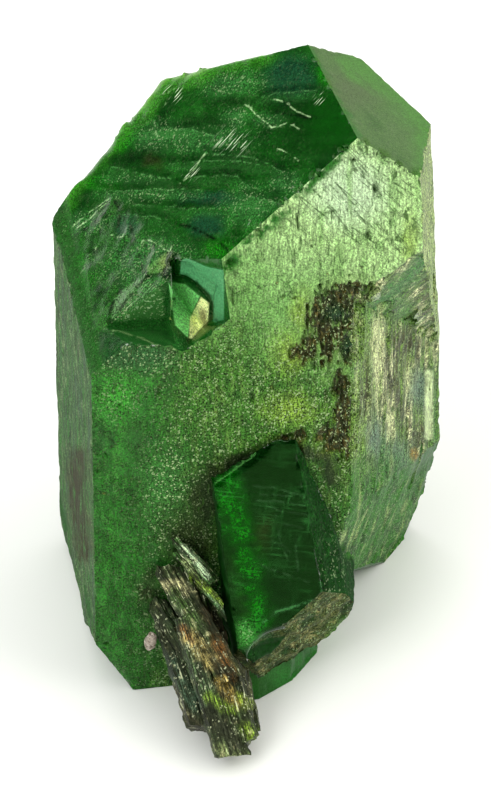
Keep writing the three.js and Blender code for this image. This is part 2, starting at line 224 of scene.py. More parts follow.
def filling(middle, radii, step=1.6):
    """Pixels that fill an ellipse in rows, for patches finer than the rest of a skin."""
    rows, columns = (np.arange(-radius, radius, step) for radius in radii)
    grid = np.stack(np.meshgrid(rows, columns), axis=-1).reshape(-1, 2)
    return grid[np.hypot(*(grid / radii).T) < 1] + middle


def beside(route, step=1.0, offsets=(-1.3, -0.4, 0.4, 1.3)):
    """Pixels along a route and close beside it, for lines finer than the rest of a skin."""
    rows = []
    for start, end in zip(route, route[1:]):
        run = np.subtract(end, start)
        length = np.hypot(*run)
        along = np.array(start) + np.arange(0, length, step)[:, None] / length * run
        across = np.array([-run[1], run[0]]) / length
        rows += [along + offset * across for offset in offsets]
    return np.vstack(rows)


class Skin:
    """A fine, even triangle mesh over a node's flat faces: places, triangles and each triangle's flat face.

    Extra places lie along the given routes and in the given ellipses of the photograph, for finer
    paint there.
    """

    def __init__(self, node, pitch, hidden_pitch, routes=(), ellipses=(), seed=1):
        dots = [beside(route) for route in routes] + [filling(*ellipse) for ellipse in ellipses]
        self.fine = np.vstack([np.zeros((0, 2)), *dots])
        bm = bmesh.new()
        bm.from_mesh(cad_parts[node].data)
        bm.transform(Matrix.Translation(-Vector(ORIGIN)) @ Matrix.Scale(1 / MM, 4))
        bmesh.ops.remove_doubles(bm, verts=bm.verts, dist=2e-4)
        bmesh.ops.dissolve_limit(
            bm, angle_limit=math.radians(0.4), use_dissolve_boundaries=False, verts=bm.verts, edges=bm.edges
        )
        bm.normal_update()
        bm.verts.index_update()
        bm.faces.index_update()
        self.rng = np.random.default_rng(seed)
        self.normals = np.array([face.normal for face in bm.faces])
        self.middles = np.array([face.calc_center_median() for face in bm.faces])
        self.sizes = np.array([face.calc_area() for face in bm.faces])
        self.pitches = np.where(self.normals @ TO_CAMERA > 0.2, pitch, hidden_pitch)
        self.places = [np.array(v.co) for v in bm.verts]
        self.between = {}
        for edge in bm.edges:
            self.divide(edge)
        self.triangles = []
        self.patch = []
        for face in bm.faces:
            self.fill(face)
        self.grain, self.lengths = self.longest_edges(bm)
        bm.free()
        self.places = np.array(self.places)
        self.triangles = np.array(self.triangles)
        self.patch = np.array(self.patch)

    @staticmethod
    def longest_edges(bm):
        """The direction and the length of each flat face's longest edge."""
        edges = [max(face.edges, key=lambda edge: edge.calc_length()) for face in bm.faces]
        runs = np.array([edge.verts[1].co - edge.verts[0].co for edge in edges])
        lengths = np.linalg.norm(runs, axis=1)
        return runs * np.where(runs[:, 2] > 0, 1, -1)[:, None] / lengths[:, None], lengths

    def divide(self, edge):
        a, b = edge.verts
        pitch = min(self.pitches[face.index] for face in edge.link_faces)
        count = max(1, round(edge.calc_length() / pitch))
        start, end = np.array(a.co), np.array(b.co)
        ids = []
        for i in range(1, count):
            ids.append(len(self.places))
            self.places.append(start + (end - start) * i / count)
        self.between[a.index, b.index] = ids
        self.between[b.index, a.index] = ids[::-1]

    def fill(self, face):
        ring = []
        for loop in face.loops:
            a, b = loop.vert.index, loop.link_loop_next.vert.index
            ring += [a, *self.between[a, b]]
        normal = np.array(face.normal)
        u = unit(np.cross(normal, [0.0, 0.0, 1.0] if abs(normal[2]) < 0.9 else [1.0, 0.0, 0.0]))
        v = np.cross(normal, u)
        base = self.places[ring[0]]
        flat = np.array([[(self.places[i] - base) @ u, (self.places[i] - base) @ v] for i in ring])
        rows = [flat, self.inner_points(flat, self.pitches[face.index])]
        if len(self.fine) and normal @ TO_CAMERA > 0.15:
            marked = seen_on_plane(self.fine, base, normal) - base
            marked = np.stack([marked @ u, marked @ v], axis=1)
            in_box = ((marked > flat.min(0)) & (marked < flat.max(0))).all(1)
            rows.append(self.kept_inside(flat, marked[in_box], 0.05))
        points = [Vector(p) for p in np.vstack(rows)]
        verts, _, faces, sources, _, _ = delaunay_2d_cdt(points, [], [list(range(len(ring)))], 1, 1e-7)
        ids = []
        for place, source in zip(verts, sources):
            first = min(source) if source else len(ring)
            if first < len(ring):
                ids.append(ring[first])
            else:
                ids.append(len(self.places))
                self.places.append(base + place[0] * u + place[1] * v)
        for a, b, c in faces:
            self.triangles.append((ids[a], ids[b], ids[c]))
            self.patch.append(face.index)

    def inner_points(self, flat, pitch):
        """Points on a jittered triangular grid inside the outline, and not too near it."""
        low, high = flat.min(0), flat.max(0)
        rise = pitch * math.sqrt(0.75)
        ys = np.arange(low[1] + rise / 2, high[1], rise)
        xs = np.arange(low[0] + pitch / 4, high[0], pitch)
        shifts = [(row % 2) * pitch / 2 for row in range(len(ys))]
        grid = np.array([(x + shift, y) for shift, y in zip(shifts, ys) for x in xs]).reshape(-1, 2)
        grid += self.rng.uniform(-0.16, 0.16, grid.shape) * pitch
        return self.kept_inside(flat, grid, 0.62 * pitch)

    @staticmethod
    def kept_inside(flat, points, margin):
        """The points inside an outline that are more than margin away from its corners."""
        following = np.roll(flat, -1, axis=0)
        climb = np.where(following[:, 1] == flat[:, 1], 1, following[:, 1] - flat[:, 1])
        kept = [np.zeros((0, 2))]
        for part in np.array_split(points, len(points) // 2000 + 1):
            x, y = part[:, :1], part[:, 1:]
            spans = (flat[:, 1] > y) != (following[:, 1] > y)
            cross = flat[:, 0] + (y - flat[:, 1]) / climb * (following[:, 0] - flat[:, 0])
            inside = (spans & (x < cross)).sum(1) % 2 == 1
            away = np.hypot(x - flat[:, 0], y - flat[:, 1]).min(1) > margin
            kept.append(part[inside & away])
        return np.vstack(kept)

    def vertex_normals(self):
        a, b, c = (self.places[self.triangles[:, i]] for i in range(3))
        total = self.gather(np.cross(b - a, c - a))
        length = np.linalg.norm(total, axis=1, keepdims=True)
        return total / np.where(length == 0, 1, length)

    def gather(self, values):
        """The sum at each place of its triangles' values."""
        flat = values.reshape(len(values), -1)
        count = len(self.places)
        corners = self.triangles.T
        total = [sum(np.bincount(corner, column, count) for corner in corners) for column in flat.T]
        return np.stack(total, axis=1).reshape(count, *values.shape[1:])

    def at_places(self, values):
        """The mean at each place of its triangles' values."""
        total = self.gather(values)
        count = self.gather(np.ones(len(self.triangles)))
        return total / (count if total.ndim == 1 else count[:, None])

    def edge_keys(self):
        """One number for each triangle's side, the same on both triangles that share it."""
        sides = np.sort(self.triangles[:, [[0, 1], [1, 2], [2, 0]]].reshape(-1, 2), axis=1)
        return sides[:, 0] * len(self.places) + sides[:, 1]

    def shared_edges(self):
        """The keys of the edges between two triangles, and the two flat faces on their sides."""
        keys = self.edge_keys()
        order = np.argsort(keys, kind="stable")
        twins = np.flatnonzero(keys[order][1:] == keys[order][:-1])
        owner = np.repeat(self.patch, 3)[order]
        return keys[order][twins], owner[twins], owner[twins + 1]

    def neighbours(self):
        """The pairs of flat faces that share edges, once for each edge."""
        _, first, second = self.shared_edges()
        return first[first != second], second[first != second]

    def find_creases(self, names, angle):
        """Marks the edges where faces with other names, or broken ones, meet at more than angle degrees."""
        keys, first, second = self.shared_edges()
        likeness = np.einsum("ij,ij->i", self.normals[first], self.normals[second])
        turned = likeness < math.cos(math.radians(angle))
        other = (names[first] != names[second]) | (names[first] == "broken") & (first != second)
        self.sharp = keys[turned & other]
        ends = np.unique([self.sharp // len(self.places), self.sharp % len(self.places)])
        self.crease_distance = self.distance_from(ends)

    def distance_from(self, chosen):
        """Each place's distance to the nearest of the chosen places."""
        tree = KDTree(max(1, len(chosen)))
        for index in chosen:
            tree.insert(self.places[index], int(index))
        tree.balance()
        return np.array([tree.find(place)[2] if len(chosen) else np.inf for place in self.places])

    def heal(self, faces, reach=1.4):
        """Flattens the grooves and low steps in the main faces, and fades them out over reach."""
        groove_places = np.unique(self.triangles[faces.groove[self.patch]])
        pull = 1 - smooth(0.1, reach, self.distance_from(groove_places))
        pull *= 1 - smooth(0, 0.5, self.at_places((faces.names == "broken")[self.patch].astype(float)))
        home = np.zeros(len(self.places), int)
        whole = faces.names[self.patch] != "broken"
        home[self.triangles[whole]] = faces.home[self.patch][whole][:, None]
        normals, depths = faces.plane_normals[home], faces.plane_depths[home]
        for _ in range(2):
            below = depths - np.einsum("ij,ij->i", normals, self.places)
            self.places += normals * (below * pull * (abs(below) < GROOVE_DEPTH))[:, None]
            self.relax(pull * smooth(0.02, 0.2, self.crease_distance) * (pull > 0.6), rounds=14)

    def relax(self, share, rounds):
        """Moves each place towards the middle of its neighbours, by its share, round after round."""
        count = len(self.places)
        keys = np.unique(self.edge_keys())
        a, b = keys // count, keys % count
        near = np.bincount(a, minlength=count) + np.bincount(b, minlength=count)
        for _ in range(rounds):
            axes = self.places.T
            total = [np.bincount(a, axis[b], count) + np.bincount(b, axis[a], count) for axis in axes]
            self.places += (np.stack(total, axis=1) / near[:, None] - self.places) * share[:, None]

    def find_wedges(self):
        """Numbers each pair of a place and a flat face there, so that finishes can end at creases."""
        keys = self.triangles * len(self.normals) + self.patch[:, None]
        found, self.wedge_of_corner = np.unique(keys.ravel(), return_inverse=True)
        self.wedge_place, self.wedge_patch = found // len(self.normals), found % len(self.normals)

    def to_object(self, name, material):
        mesh = bpy.data.meshes.new(name)
        mesh.vertices.add(len(self.places))
        mesh.vertices.foreach_set("co", to_frame(self.places).astype(np.float32).ravel())
        mesh.loops.add(self.triangles.size)
        mesh.loops.foreach_set("vertex_index", self.triangles.ravel().astype(np.int32))
        mesh.polygons.add(len(self.triangles))
        mesh.polygons.foreach_set("loop_start", np.arange(0, self.triangles.size, 3, dtype=np.int32))
        mesh.update(calc_edges=True)
        mesh.shade_smooth()
        edges = np.zeros(len(mesh.edges) * 2, np.int32)
        mesh.edges.foreach_get("vertices", edges)
        edges = np.sort(edges.reshape(-1, 2).astype(int), axis=1)
        sharp = mesh.attributes.new("sharp_edge", "BOOLEAN", "EDGE")
        sharp.data.foreach_set("value", np.isin(edges[:, 0] * len(self.places) + edges[:, 1], self.sharp))
        mesh.materials.append(material)
        print(name, len(self.triangles), "triangles")
        return link(bpy.data.objects.new(name, mesh))


class Paint:
    """The finish of a skin, built up coat by coat, at each place of each flat face.

    A coat names the share that it covers, its colour on a screen, and the other values that it changes.
    """

    def __init__(self, skin, color, **values):
        skin.find_wedges()
        self.skin = skin
        self.points = skin.places[skin.wedge_place]
        self.picture = in_picture(self.points)
        self.color = np.tile(linear(color), (len(self.points), 1))
        self.values = {key: np.full(len(self.points), float(value)) for key, value in values.items()}

    def coat(self, share, color=None, **values):
        if color is not None:
            self.color += (linear(color) - self.color) * share[:, None]
        for key, value in values.items():
            self.values[key] += (value - self.values[key]) * share

    def put_on(self, obj, groups):
        """Stores the colour as tint, and each group of up to three values under its own name."""
        self.store(obj, "tint", self.color)
        for name, keys in groups.items():
            self.store(obj, name, np.stack([self.values[key] for key in keys], axis=1))

    def store(self, obj, name, values):
        attribute = obj.data.color_attributes.new(name, "FLOAT_COLOR", "CORNER")
        rgba = np.ones((len(values), 4), np.float32)
        rgba[:, : values.shape[1]] = np.clip(values, 0, 1)
        attribute.data.foreach_set("color", rgba[self.skin.wedge_of_corner].ravel())


class Look:
    """A Principled material and short ways to add its nodes."""

    def __init__(self, name):
        self.material = bpy.data.materials.new(name)
        self.material.use_nodes = True
        self.tree = self.material.node_tree
        self.shader = self.tree.nodes["Principled BSDF"]
        self.output = self.tree.nodes["Material Output"]

    def node(self, kind, settings=(), **inputs):
        node = self.tree.nodes.new("ShaderNode" + kind)
        for key, value in dict(settings).items():
            setattr(node, key, value)
        for key, value in inputs.items():
            self.feed(node.inputs[key.replace("_", " ")], value)
        return node

    def feed(self, socket, value):
        if isinstance(value, bpy.types.NodeSocket):
            self.tree.links.new(value, socket)
        else:
            socket.default_value = value

    def set(self, **inputs):
        for key, value in inputs.items():
            self.feed(self.shader.inputs[key.replace("_", " ")], value)

    def math(self, operation, a, b=0.0, clamp=False):
        node = self.node("Math", {"operation": operation, "use_clamp": clamp})
        self.feed(node.inputs[0], a)
        self.feed(node.inputs[1], b)
        return node.outputs[0]

    def product(self, first, *others):
        for other in others:
            first = self.math("MULTIPLY", first, other)
        return first

    def mix(self, share, a, b):
        node = self.node("Mix", {"data_type": "RGBA"})
        self.feed(node.inputs[0], share)
        self.feed(node.inputs[6], a)
        self.feed(node.inputs[7], b)
        return node.outputs[2]

    def map(self, value, low, high, to_low=0.0, to_high=1.0):
        node = self.node("MapRange", {"clamp": True})
        for socket, number in zip(node.inputs, (value, low, high, to_low, to_high)):
            self.feed(socket, number)
        return node.outputs[0]

    def stored(self, attribute):
        return self.node("Attribute", {"attribute_name": attribute}).outputs["Color"]

    def split(self, attribute):
        return self.node("SeparateColor", Color=self.stored(attribute)).outputs[:3]

    def along(self, *axes):
        """Coordinates along three axes. Each axis's length is how many noise cells fit in a millimetre."""
        place = self.node("TexCoord").outputs["Object"]
        parts = []
        for axis in axes:
            dot = self.node("VectorMath", {"operation": "DOT_PRODUCT"})
            self.feed(dot.inputs[0], place)
            self.feed(dot.inputs[1], [part / MM for part in axis])
            parts.append(dot.outputs["Value"])
        return self.node("CombineXYZ", X=parts[0], Y=parts[1], Z=parts[2]).outputs[0]

    def stretched(self, vector, factors):
        node = self.node("VectorMath", {"operation": "MULTIPLY"})
        self.feed(node.inputs[0], vector)
        self.feed(node.inputs[1], factors)
        return node.outputs[0]

    def upright(self, across, up):
        """Noise coordinates with across cells a millimetre sideways and up cells a millimetre upwards."""
        return self.along((across, 0, 0), (0, across, 0), (0, 0, up))

    def noise(self, vector, detail=3.0, roughness=0.55, distortion=0.0):
        node = self.node("TexNoise", Vector=vector, Scale=1.0, Detail=detail)
        node.inputs["Roughness"].default_value = roughness
        node.inputs["Distortion"].default_value = distortion
        return node.outputs[0]

    def cells(self, vector):
        """A random number from 0 to 1 for each small cell."""
        node = self.node("TexVoronoi", Vector=vector, Scale=1.0)
        return self.node("SeparateColor", Color=node.outputs["Color"]).outputs[0]

    def thin_lines(self, vector, width, detail=1.0):
        """1 on the lines where a noise crosses its middle, 0 elsewhere."""
        off = self.math("ABSOLUTE", self.math("SUBTRACT", self.noise(vector, detail), 0.5))
        return self.map(off, 0.0, width, 1.0, 0.0)

    def scaled(self, color, factor):
        node = self.node("VectorMath", {"operation": "SCALE"})
        self.feed(node.inputs[0], color)
        self.feed(node.inputs["Scale"], factor)
        return node.outputs[0]

    def uneven(self, color, noise, contrast):
        """The colour made darker and lighter by a noise, as far as the contrast says."""
        low = self.math("SUBTRACT", 1.0, contrast)
        high = self.math("ADD", 1.0, contrast)
        return self.scaled(color, self.map(noise, 0.36, 0.64, low, high))

    def bump(self, height, distance):
        return self.node("Bump", Height=height, Strength=0.8, Distance=distance * MM).outputs[0]

    def absorb(self, color, density):
        volume = self.node("VolumeAbsorption", Color=(*color, 1.0), Density=density)
        self.tree.links.new(volume.outputs[0], self.output.inputs["Volume"])


def add_piece(skin, look, paint, groups, node):
    piece = skin.to_object(node + "_skin", look.material)
    paint.put_on(piece, groups)
    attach(piece, "root")
    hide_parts(node)
    return piece


# Diopside's index of refraction, what its green leaves of white light, and the tints of its reflections.
DIOPSIDE_IOR = 1.68
GREEN_LEFT = (0.06, 0.80, 0.12)
SHEEN_TINT = (0.18, 0.38, 0.10, 1)
DEEP_SHEEN_TINT = (0.08, 0.28, 0.06, 1)

# The main crystal's flat faces, by the direction that each one looks in.
FACE_DIRECTIONS = {
    "front": (0, -1, 0),
    "left": (-1, 0, 0),
    "roof_left": (-0.7, 0, 0.714),
    "roof_right": (0.656, 0.129, 0.744),
    "right": (0.97, -0.23, 0.05),
    "slab": (0.82, -0.57, -0.01),
    "undercut": (0.76, -0.61, -0.22),
    "ramp": (0.37, -0.81, -0.46),
    "back": (0, 1, 0),
    "back_right": (0.75, 0.66, 0.04),
    "back_left": (-0.42, 0.91, 0),
    "roof_back": (0.06, 0.71, 0.7),
    "base": (0, 0, -1),
}

# How rough each face is, in millimetres: upright fibres, lumps and scoops.
RELIEF = {
    "front": (0.02, 0.008, 0.0),
    "left": (0.06, 0.03, 0.0),
    "roof_left": (0.0, 0.01, 0.0),
    "roof_right": (0.008, 0.012, 0.0),
    "right": (0.16, 0.05, 0.05),
    "slab": (0.2, 0.08, 0.05),
    "undercut": (0.1, 0.06, 0.22),
    "ramp": (0.05, 0.05, 0.12),
    "back": (0.14, 0.06, 0.12),
    "back_right": (0.14, 0.06, 0.1),
    "back_left": (0.12, 0.06, 0.1),
    "roof_back": (0.03, 0.05, 0.15),
    "base": (0.0, 0.0, 0.0),
    "broken": (0.0, 0.01, 0.03),
}

# A flat strip narrower than this, and not far under a main face, is the side of a shallow groove in it.
# The small facets around the pit are no grooves. Its middle and half size are pixels of the photograph.
GROOVE_WIDTH = 0.65
GROOVE_DEPTH = 0.62
PIT_AREA = ((176, 298), (50, 62))

# In the smooth faces, wide steps down to this depth are levelled too.
SMOOTH_FACES = ("roof_left", "glossy")
STEP_DEPTH = 0.3


class Faces:
    """For each flat patch of a skin, its main face, or broken, and whether it is a groove."""

    def __init__(self, skin, directions):
        likeness = skin.normals @ np.array([unit(direction) for direction in directions.values()]).T
        largest = np.where(likeness > 0.985, skin.sizes[:, None], 0).argmax(0)
        self.plane_normals = skin.normals[largest]
        self.plane_depths = np.einsum("ij,ij->i", skin.middles[largest], self.plane_normals)
        depth = self.plane_depths - skin.middles @ self.plane_normals.T
        score = skin.normals @ self.plane_normals.T - 0.4 * abs(depth)
        self.home = score.argmax(1)
        own_depth = abs(np.take_along_axis(depth, self.home[:, None], 1)[:, 0])
        whole = score.max(1) > 0.8
        pixels = in_picture(skin.middles)
        in_pit = (abs(pixels - PIT_AREA[0]) < PIT_AREA[1]).all(1) & (skin.middles[:, 1] < 4)
        narrow = skin.sizes / skin.lengths < GROOVE_WIDTH
        near = abs(depth).min(1) < GROOVE_DEPTH
        self.groove = narrow & np.where(whole, own_depth > 0.05, near & ~in_pit)
        smooth_face = np.isin(np.array(list(directions))[self.home], SMOOTH_FACES)
        self.groove |= whole & smooth_face & (own_depth > 0.05) & (own_depth < STEP_DEPTH)
        self.take_from_neighbours(skin, whole, depth)
        self.names = np.where(whole | self.groove, np.array(list(directions))[self.home], "broken")

    def take_from_neighbours(self, skin, known, depth):
        """Gives each groove the main face that it borders on most, and then passes that face on."""
        first, second = skin.neighbours()
        pairs = np.vstack([np.stack([first, second], 1), np.stack([second, first], 1)])
        for _ in range(4):
            votes = np.zeros(depth.shape)
            useful = self.groove[pairs[:, 0]] & known[pairs[:, 1]]
            taker, giver = pairs[useful].T
            np.add.at(votes, (taker, self.home[giver]), 1)
            votes *= abs(depth) < GROOVE_DEPTH
            settled = self.groove & ~known & (votes.max(1) > 0)
            self.home[settled] = votes[settled].argmax(1)
            known = known | settled
        self.groove = self.groove & known


# Places in the photograph, in its pixels, on the dark left roof face.
# Along REAR_RIM the thin rim also gets a painted glow of light shining through it.
REAR_RIM = [
    (52, 210), (78, 168), (94, 152), (120, 123), (142, 104),
    (155, 86), (166, 76), (195, 72), (214, 60), (262, 51),
]
BROKEN_CORNER = [(66, 230), (112, 192), (150, 232), (176, 250), (184, 352), (100, 366)]
LENS_EDGES = [
    [(112, 167), (128, 170), (146, 175), (170, 179)],
    [(170, 164), (185, 163), (204, 161), (240, 161), (262, 166)],
    [(194, 177), (222, 175), (238, 177), (250, 188)],
    [(97, 187), (112, 191), (132, 191), (156, 189), (172, 190), (200, 190)],
    [(205, 153), (226, 155), (250, 157), (269, 164), (286, 174), (291, 190)],
    [(134, 205), (160, 206), (190, 209), (214, 208)],
    [(120, 214), (150, 216), (168, 220)],
    [(162, 128), (190, 129), (214, 136)],
    [(262, 96), (290, 92), (316, 90)],
    [(246, 196), (268, 200), (282, 208)],
]
PALE_CURVES = [
    [(274, 99), (284, 102), (298, 112), (310, 116)],
    [(245, 105), (258, 116), (273, 127), (286, 123), (299, 129)],
    [(276, 147), (288, 153), (299, 161)],
    [(154, 122), (155, 130), (158, 136)],
    [(72, 234), (82, 224), (92, 217), (104, 206), (111, 199)],
    [(70, 230), (86, 214), (100, 206), (110, 197)],
    [(98, 243), (92, 255), (86, 263), (81, 271), (79, 279)],
    [(140, 251), (142, 241), (148, 240), (156, 243), (164, 249), (169, 252)],
    [(169, 252), (172, 246)],
    [(110, 235), (122, 237), (129, 226)],
    [(160, 95), (170, 90), (178, 87)],
    [(166, 104), (170, 100)],
    [(205, 154), (196, 166), (190, 176), (180, 183)],
]
DARK_CURVES = [
    [(176, 223), (186, 226), (198, 230), (208, 235), (217, 241), (228, 250)],
    [(113, 197), (120, 212), (118, 226)],
    [(100, 232), (108, 226), (106, 212), (92, 224), (74, 238)],
    [(130, 226), (134, 238), (128, 248)],
    [(155, 246), (148, 258), (146, 266)],
    [(139, 253), (142, 268), (146, 276), (160, 276), (170, 276)],
    [(168, 252), (167, 262), (164, 274)],
    [(78, 280), (84, 300), (92, 322), (98, 340)],
    [(120, 290), (112, 306), (108, 320)],
    [(276, 112), (296, 116), (318, 118)],
    [(146, 279), (130, 296), (112, 320)],
]
GLINT_AREAS = [((232, 141), (16, 13)), ((172, 94), (12, 8)), ((319, 99), (5, 7)), ((190, 170), (8, 9))]
VEILED_AREAS = [
    ((236, 118), (12, 9)), ((200, 140), (42, 12)), ((230, 84), (30, 12)), ((160, 136), (26, 14)),
    ((150, 262), (40, 22)), ((86, 222), (18, 10)), ((286, 182), (14, 8)), ((250, 206), (24, 16)),
    ((268, 120), (16, 6)), ((150, 196), (40, 5)), ((132, 180), (26, 4)),
]
DARK_AREAS = [
    ((205, 122), (20, 7)), ((140, 158), (34, 7)), ((226, 169), (36, 5)), ((312, 134), (30, 24)),
    ((300, 104), (28, 7)), ((240, 102), (30, 5)), ((150, 182), (26, 3)),
]
TEAL_AREAS = [((206, 224), (18, 12)), ((208, 198), (30, 7)), ((290, 78), (26, 22)), ((128, 224), (14, 10))]
GREEN_AREAS = [
    ((222, 250), (16, 9)), ((328, 74), (12, 12)), ((100, 184), (20, 7)), ((80, 290), (8, 44)),
    ((120, 140), (14, 10)),
]
DEEP_AREA = ((330, 122), (26, 26))
BROWN_STAIN = [(148, 160), (158, 163)]
DIAMOND = [(139, 251), (143, 240), (156, 244), (168, 253), (170, 263), (163, 274), (147, 275)]
DIAMOND_LIGHT = ((164, 262), (4, 7))
BROKEN_FACETS = [
    (
        [(98, 243), (118, 246), (118, 268), (112, 296), (104, 330), (92, 322), (82, 296), (80, 276)],
        (62, 132, 50),
    ),
    ([(116, 290), (124, 282), (146, 279), (130, 296), (112, 322)], (116, 166, 104)),
    ([(122, 252), (138, 256), (143, 275), (122, 279), (117, 268)], (56, 118, 56)),
    ([(169, 250), (179, 252), (179, 286), (162, 277)], (2, 44, 6)),
    ([(100, 208), (130, 204), (137, 228), (120, 240), (103, 236)], (14, 70, 26)),
    ([(88, 335), (104, 330), (128, 342), (120, 372), (98, 380)], (26, 84, 34)),
]
SPARKLY_TRIANGLE = [(147, 279), (111, 321), (165, 318), (162, 291)]
DARK_LEDGE = [(103, 325), (167, 318), (186, 350), (165, 343), (121, 332)]
LEDGE_LIGHT = [(112, 331), (128, 334), (144, 339), (158, 345)]
EDGE_CHIPS = [
    ((317, 175), (5, 4)), ((344, 149), (4, 3)), ((300, 190), (4, 4)), ((283, 202), (3, 3)),
    ((258, 232), (3, 8)), ((230, 264), (5, 4)), ((365, 143), (3, 3)), ((382, 154), (4, 3)),
    ((414, 172), (4, 3)), ((398, 163), (3, 2)),
]

# Places in the photograph in the pit on the crystal's edge.
PIT_WALL = [
    (181, 262), (185, 257), (208, 267), (224, 270), (224, 320),
    (213, 322), (210, 302), (192, 279), (180, 274),
]
PIT_SHADOW = [(168, 277), (185, 277), (197, 285), (207, 295), (211, 304), (211, 318), (190, 341)]
PIT_FLOOR = [(168, 281), (185, 284), (200, 296), (191, 315), (188, 338), (175, 325)]
PIT_BEIGE = [(201, 297), (209, 303), (208, 321), (197, 332), (192, 338), (189, 338), (190, 318)]
PIT_FOOT = [(189, 342), (212, 321), (224, 323), (206, 340), (190, 352)]
PIT_BROWN = ((203, 316), (4, 8))

# Places in the photograph on the right roof face, the left face and the foot lobe.
ROOF_GREY = ((352, 88), (26, 20))
ROOF_RIM = [(360, 58), (400, 84), (436, 124), (434, 170)]
ROOF_RIDGE = [(310, 50), (332, 92), (358, 136)]
LEFT_BROWN = [(78, 456), (76, 490), (79, 520), (84, 552)]
LEFT_EDGE_END = 106
LOBE_AREA = ((318, 664), (48, 44))

# Heights on the front face, as pixels down at FRONT_MIDDLE. A level line sinks by FRONT_TILT to the right.
# Each pair says where a part of the face starts and where it is full.
FRONT_MIDDLE = 300
FRONT_TILT = 0.42
# Above FRONT_TOP the face is pale: its frosted tone with a painted sheen of the light that it reflects.
FRONT_TOP = (330, 210)
FRONT_LOWER = (330, 400)
FRONT_LOWEST = (440, 520)

# The clear green strip at the front's left: its edge across at CLEAR_MIDDLE down, its top and its spots.
CLEAR_EDGE = (196, 128)
CLEAR_MIDDLE = 500
CLEAR_TOP = (350, 384)
CLEAR_SHADE = [(134, 400), (140, 470), (150, 560)]
CLEAR_BRIGHT = ((120, 398), (20, 20))
CLEAR_DULL = ((134, 356), (42, 16))
CLEAR_GLITTER = ((170, 490), (22, 40))

# Places in the photograph on the front face: its edge to the dark roof, the rusty patches and other spots.
ROOF_EDGE = [(226, 268), (257, 236), (300, 193), (345, 149), (358, 139)]
RUST_BODY = [((341, 312), (36, 32)), ((318, 346), (24, 24)), ((342, 424), (16, 48))]
RUST = [
    ((348, 300), (28, 18)), ((352, 322), (20, 22)), ((320, 320), (16, 22)), ((326, 340), (10, 24)),
    ((336, 308), (22, 22)), ((347, 346), (13, 18)), ((302, 354), (14, 9)), ((312, 344), (10, 10)),
    ((345, 420), (11, 40)), ((334, 440), (16, 14)), ((342, 386), (9, 16)), ((288, 446), (11, 9)),
    ((300, 436), (6, 7)), ((372, 296), (6, 16)),
]
TEAL_CORE = [((351, 347), (9, 13)), ((337, 314), (12, 8))]
# GREY_TOP is the palest patch of that frosted top, with its painted sheen.
GREY_TOP = ((350, 190), (38, 34))
GOLD_SPECKS = [
    ((304, 312), (7, 9)), ((368, 290), (4, 8)), ((328, 300), (8, 10)), ((352, 332), (16, 14)),
    ((324, 428), (8, 10)), ((344, 420), (10, 30)), ((310, 340), (10, 16)),
]
BLACK_PITS = [
    ((375, 189), (2.4, 5)), ((298, 222), (1.0, 8)), ((233, 296), (1.6, 8)), ((252, 397), (2.4, 5)),
    ((354, 160), (1.6, 2)),
]
YELLOW_SPOTS = [
    ((288, 352), (16, 20)), ((410, 242), (7, 24)), ((358, 410), (7, 24)), ((290, 410), (24, 14)),
    ((300, 310), (8, 20)),
]
DARK_FOOT = [
    ((190, 540), (28, 34)), ((202, 500), (16, 30)), ((150, 590), (14, 20)), ((214, 474), (10, 14)),
    ((232, 462), (14, 8)),
]
CRYSTAL_SHADOW = [(208, 520), (212, 486), (236, 462), (280, 446), (326, 456), (334, 480)]

# Places in the photograph on the broken slab at the right. The foot is in pixels down.
SLAB_STEP = [(424, 262), (398, 288), (372, 314)]
SLAB_SEAM = [(371, 312), (362, 360), (358, 440), (352, 520)]
SLAB_GLINT = [(429, 374), (429, 436)]
SLAB_RUST = ((414, 454), (4, 6))
SLAB_FOOT = (440, 500)
SLAB_PALE = [((378, 346), (6, 40)), ((410, 378), (6, 16)), ((428, 318), (6, 30)), ((390, 420), (5, 18))]
SLAB_BROWN = [
    ((406, 346), (17, 17)), ((390, 372), (9, 30)), ((398, 404), (10, 14)), ((366, 396), (6, 34)),
    ((416, 440), (8, 12)),
]
SLAB_GREY = [((420, 390), (10, 18)), ((396, 462), (16, 20)), ((376, 440), (8, 20))]
SLAB_GREEN = [((404, 312), (12, 12)), ((388, 452), (16, 14)), ((372, 500), (14, 30)), ((432, 420), (6, 40))]

# Scratches on the front face.
FRONT_LINES = [
    [(304, 182), (330, 205), (352, 228), (374, 242), (388, 239)],
    [(322, 176), (344, 200), (362, 218), (384, 238)],
    [(335, 153), (347, 158), (356, 162), (366, 180), (382, 196)],
    [(358, 148), (372, 166), (396, 184), (414, 196)],
    [(300, 196), (320, 212), (344, 232), (362, 246)],
    [(330, 176), (342, 190), (354, 204), (362, 206)],
    [(316, 236), (326, 240), (338, 240), (346, 244)],
    [(230, 268), (246, 280), (262, 290)],
    [(298, 206), (299, 218), (298, 230)],
    [(288, 198), (289, 214)],
    [(374, 182), (373, 192), (375, 200)],
    [(350, 160), (364, 178), (372, 186)],
    [(310, 186), (334, 212), (350, 232)],
]
FRONT_LOOPS = [
    [(232, 284), (237, 290), (237, 300), (233, 306), (230, 298), (230, 288), (232, 284)],
    [(280, 248), (276, 262), (278, 278), (288, 284), (296, 276), (292, 258), (290, 246)],
    [(330, 238), (328, 254), (331, 262)],
    [(264, 258), (260, 268), (266, 280)],
]


def rust_share(picture, fibre, lumps):
    """1 in the rusty patches, with ragged edges that follow the upright fibres."""
    return smooth(-0.06, 0.08, spots(picture, RUST, 0.9) - 0.5 + 0.7 * fibre + 0.7 * lumps)


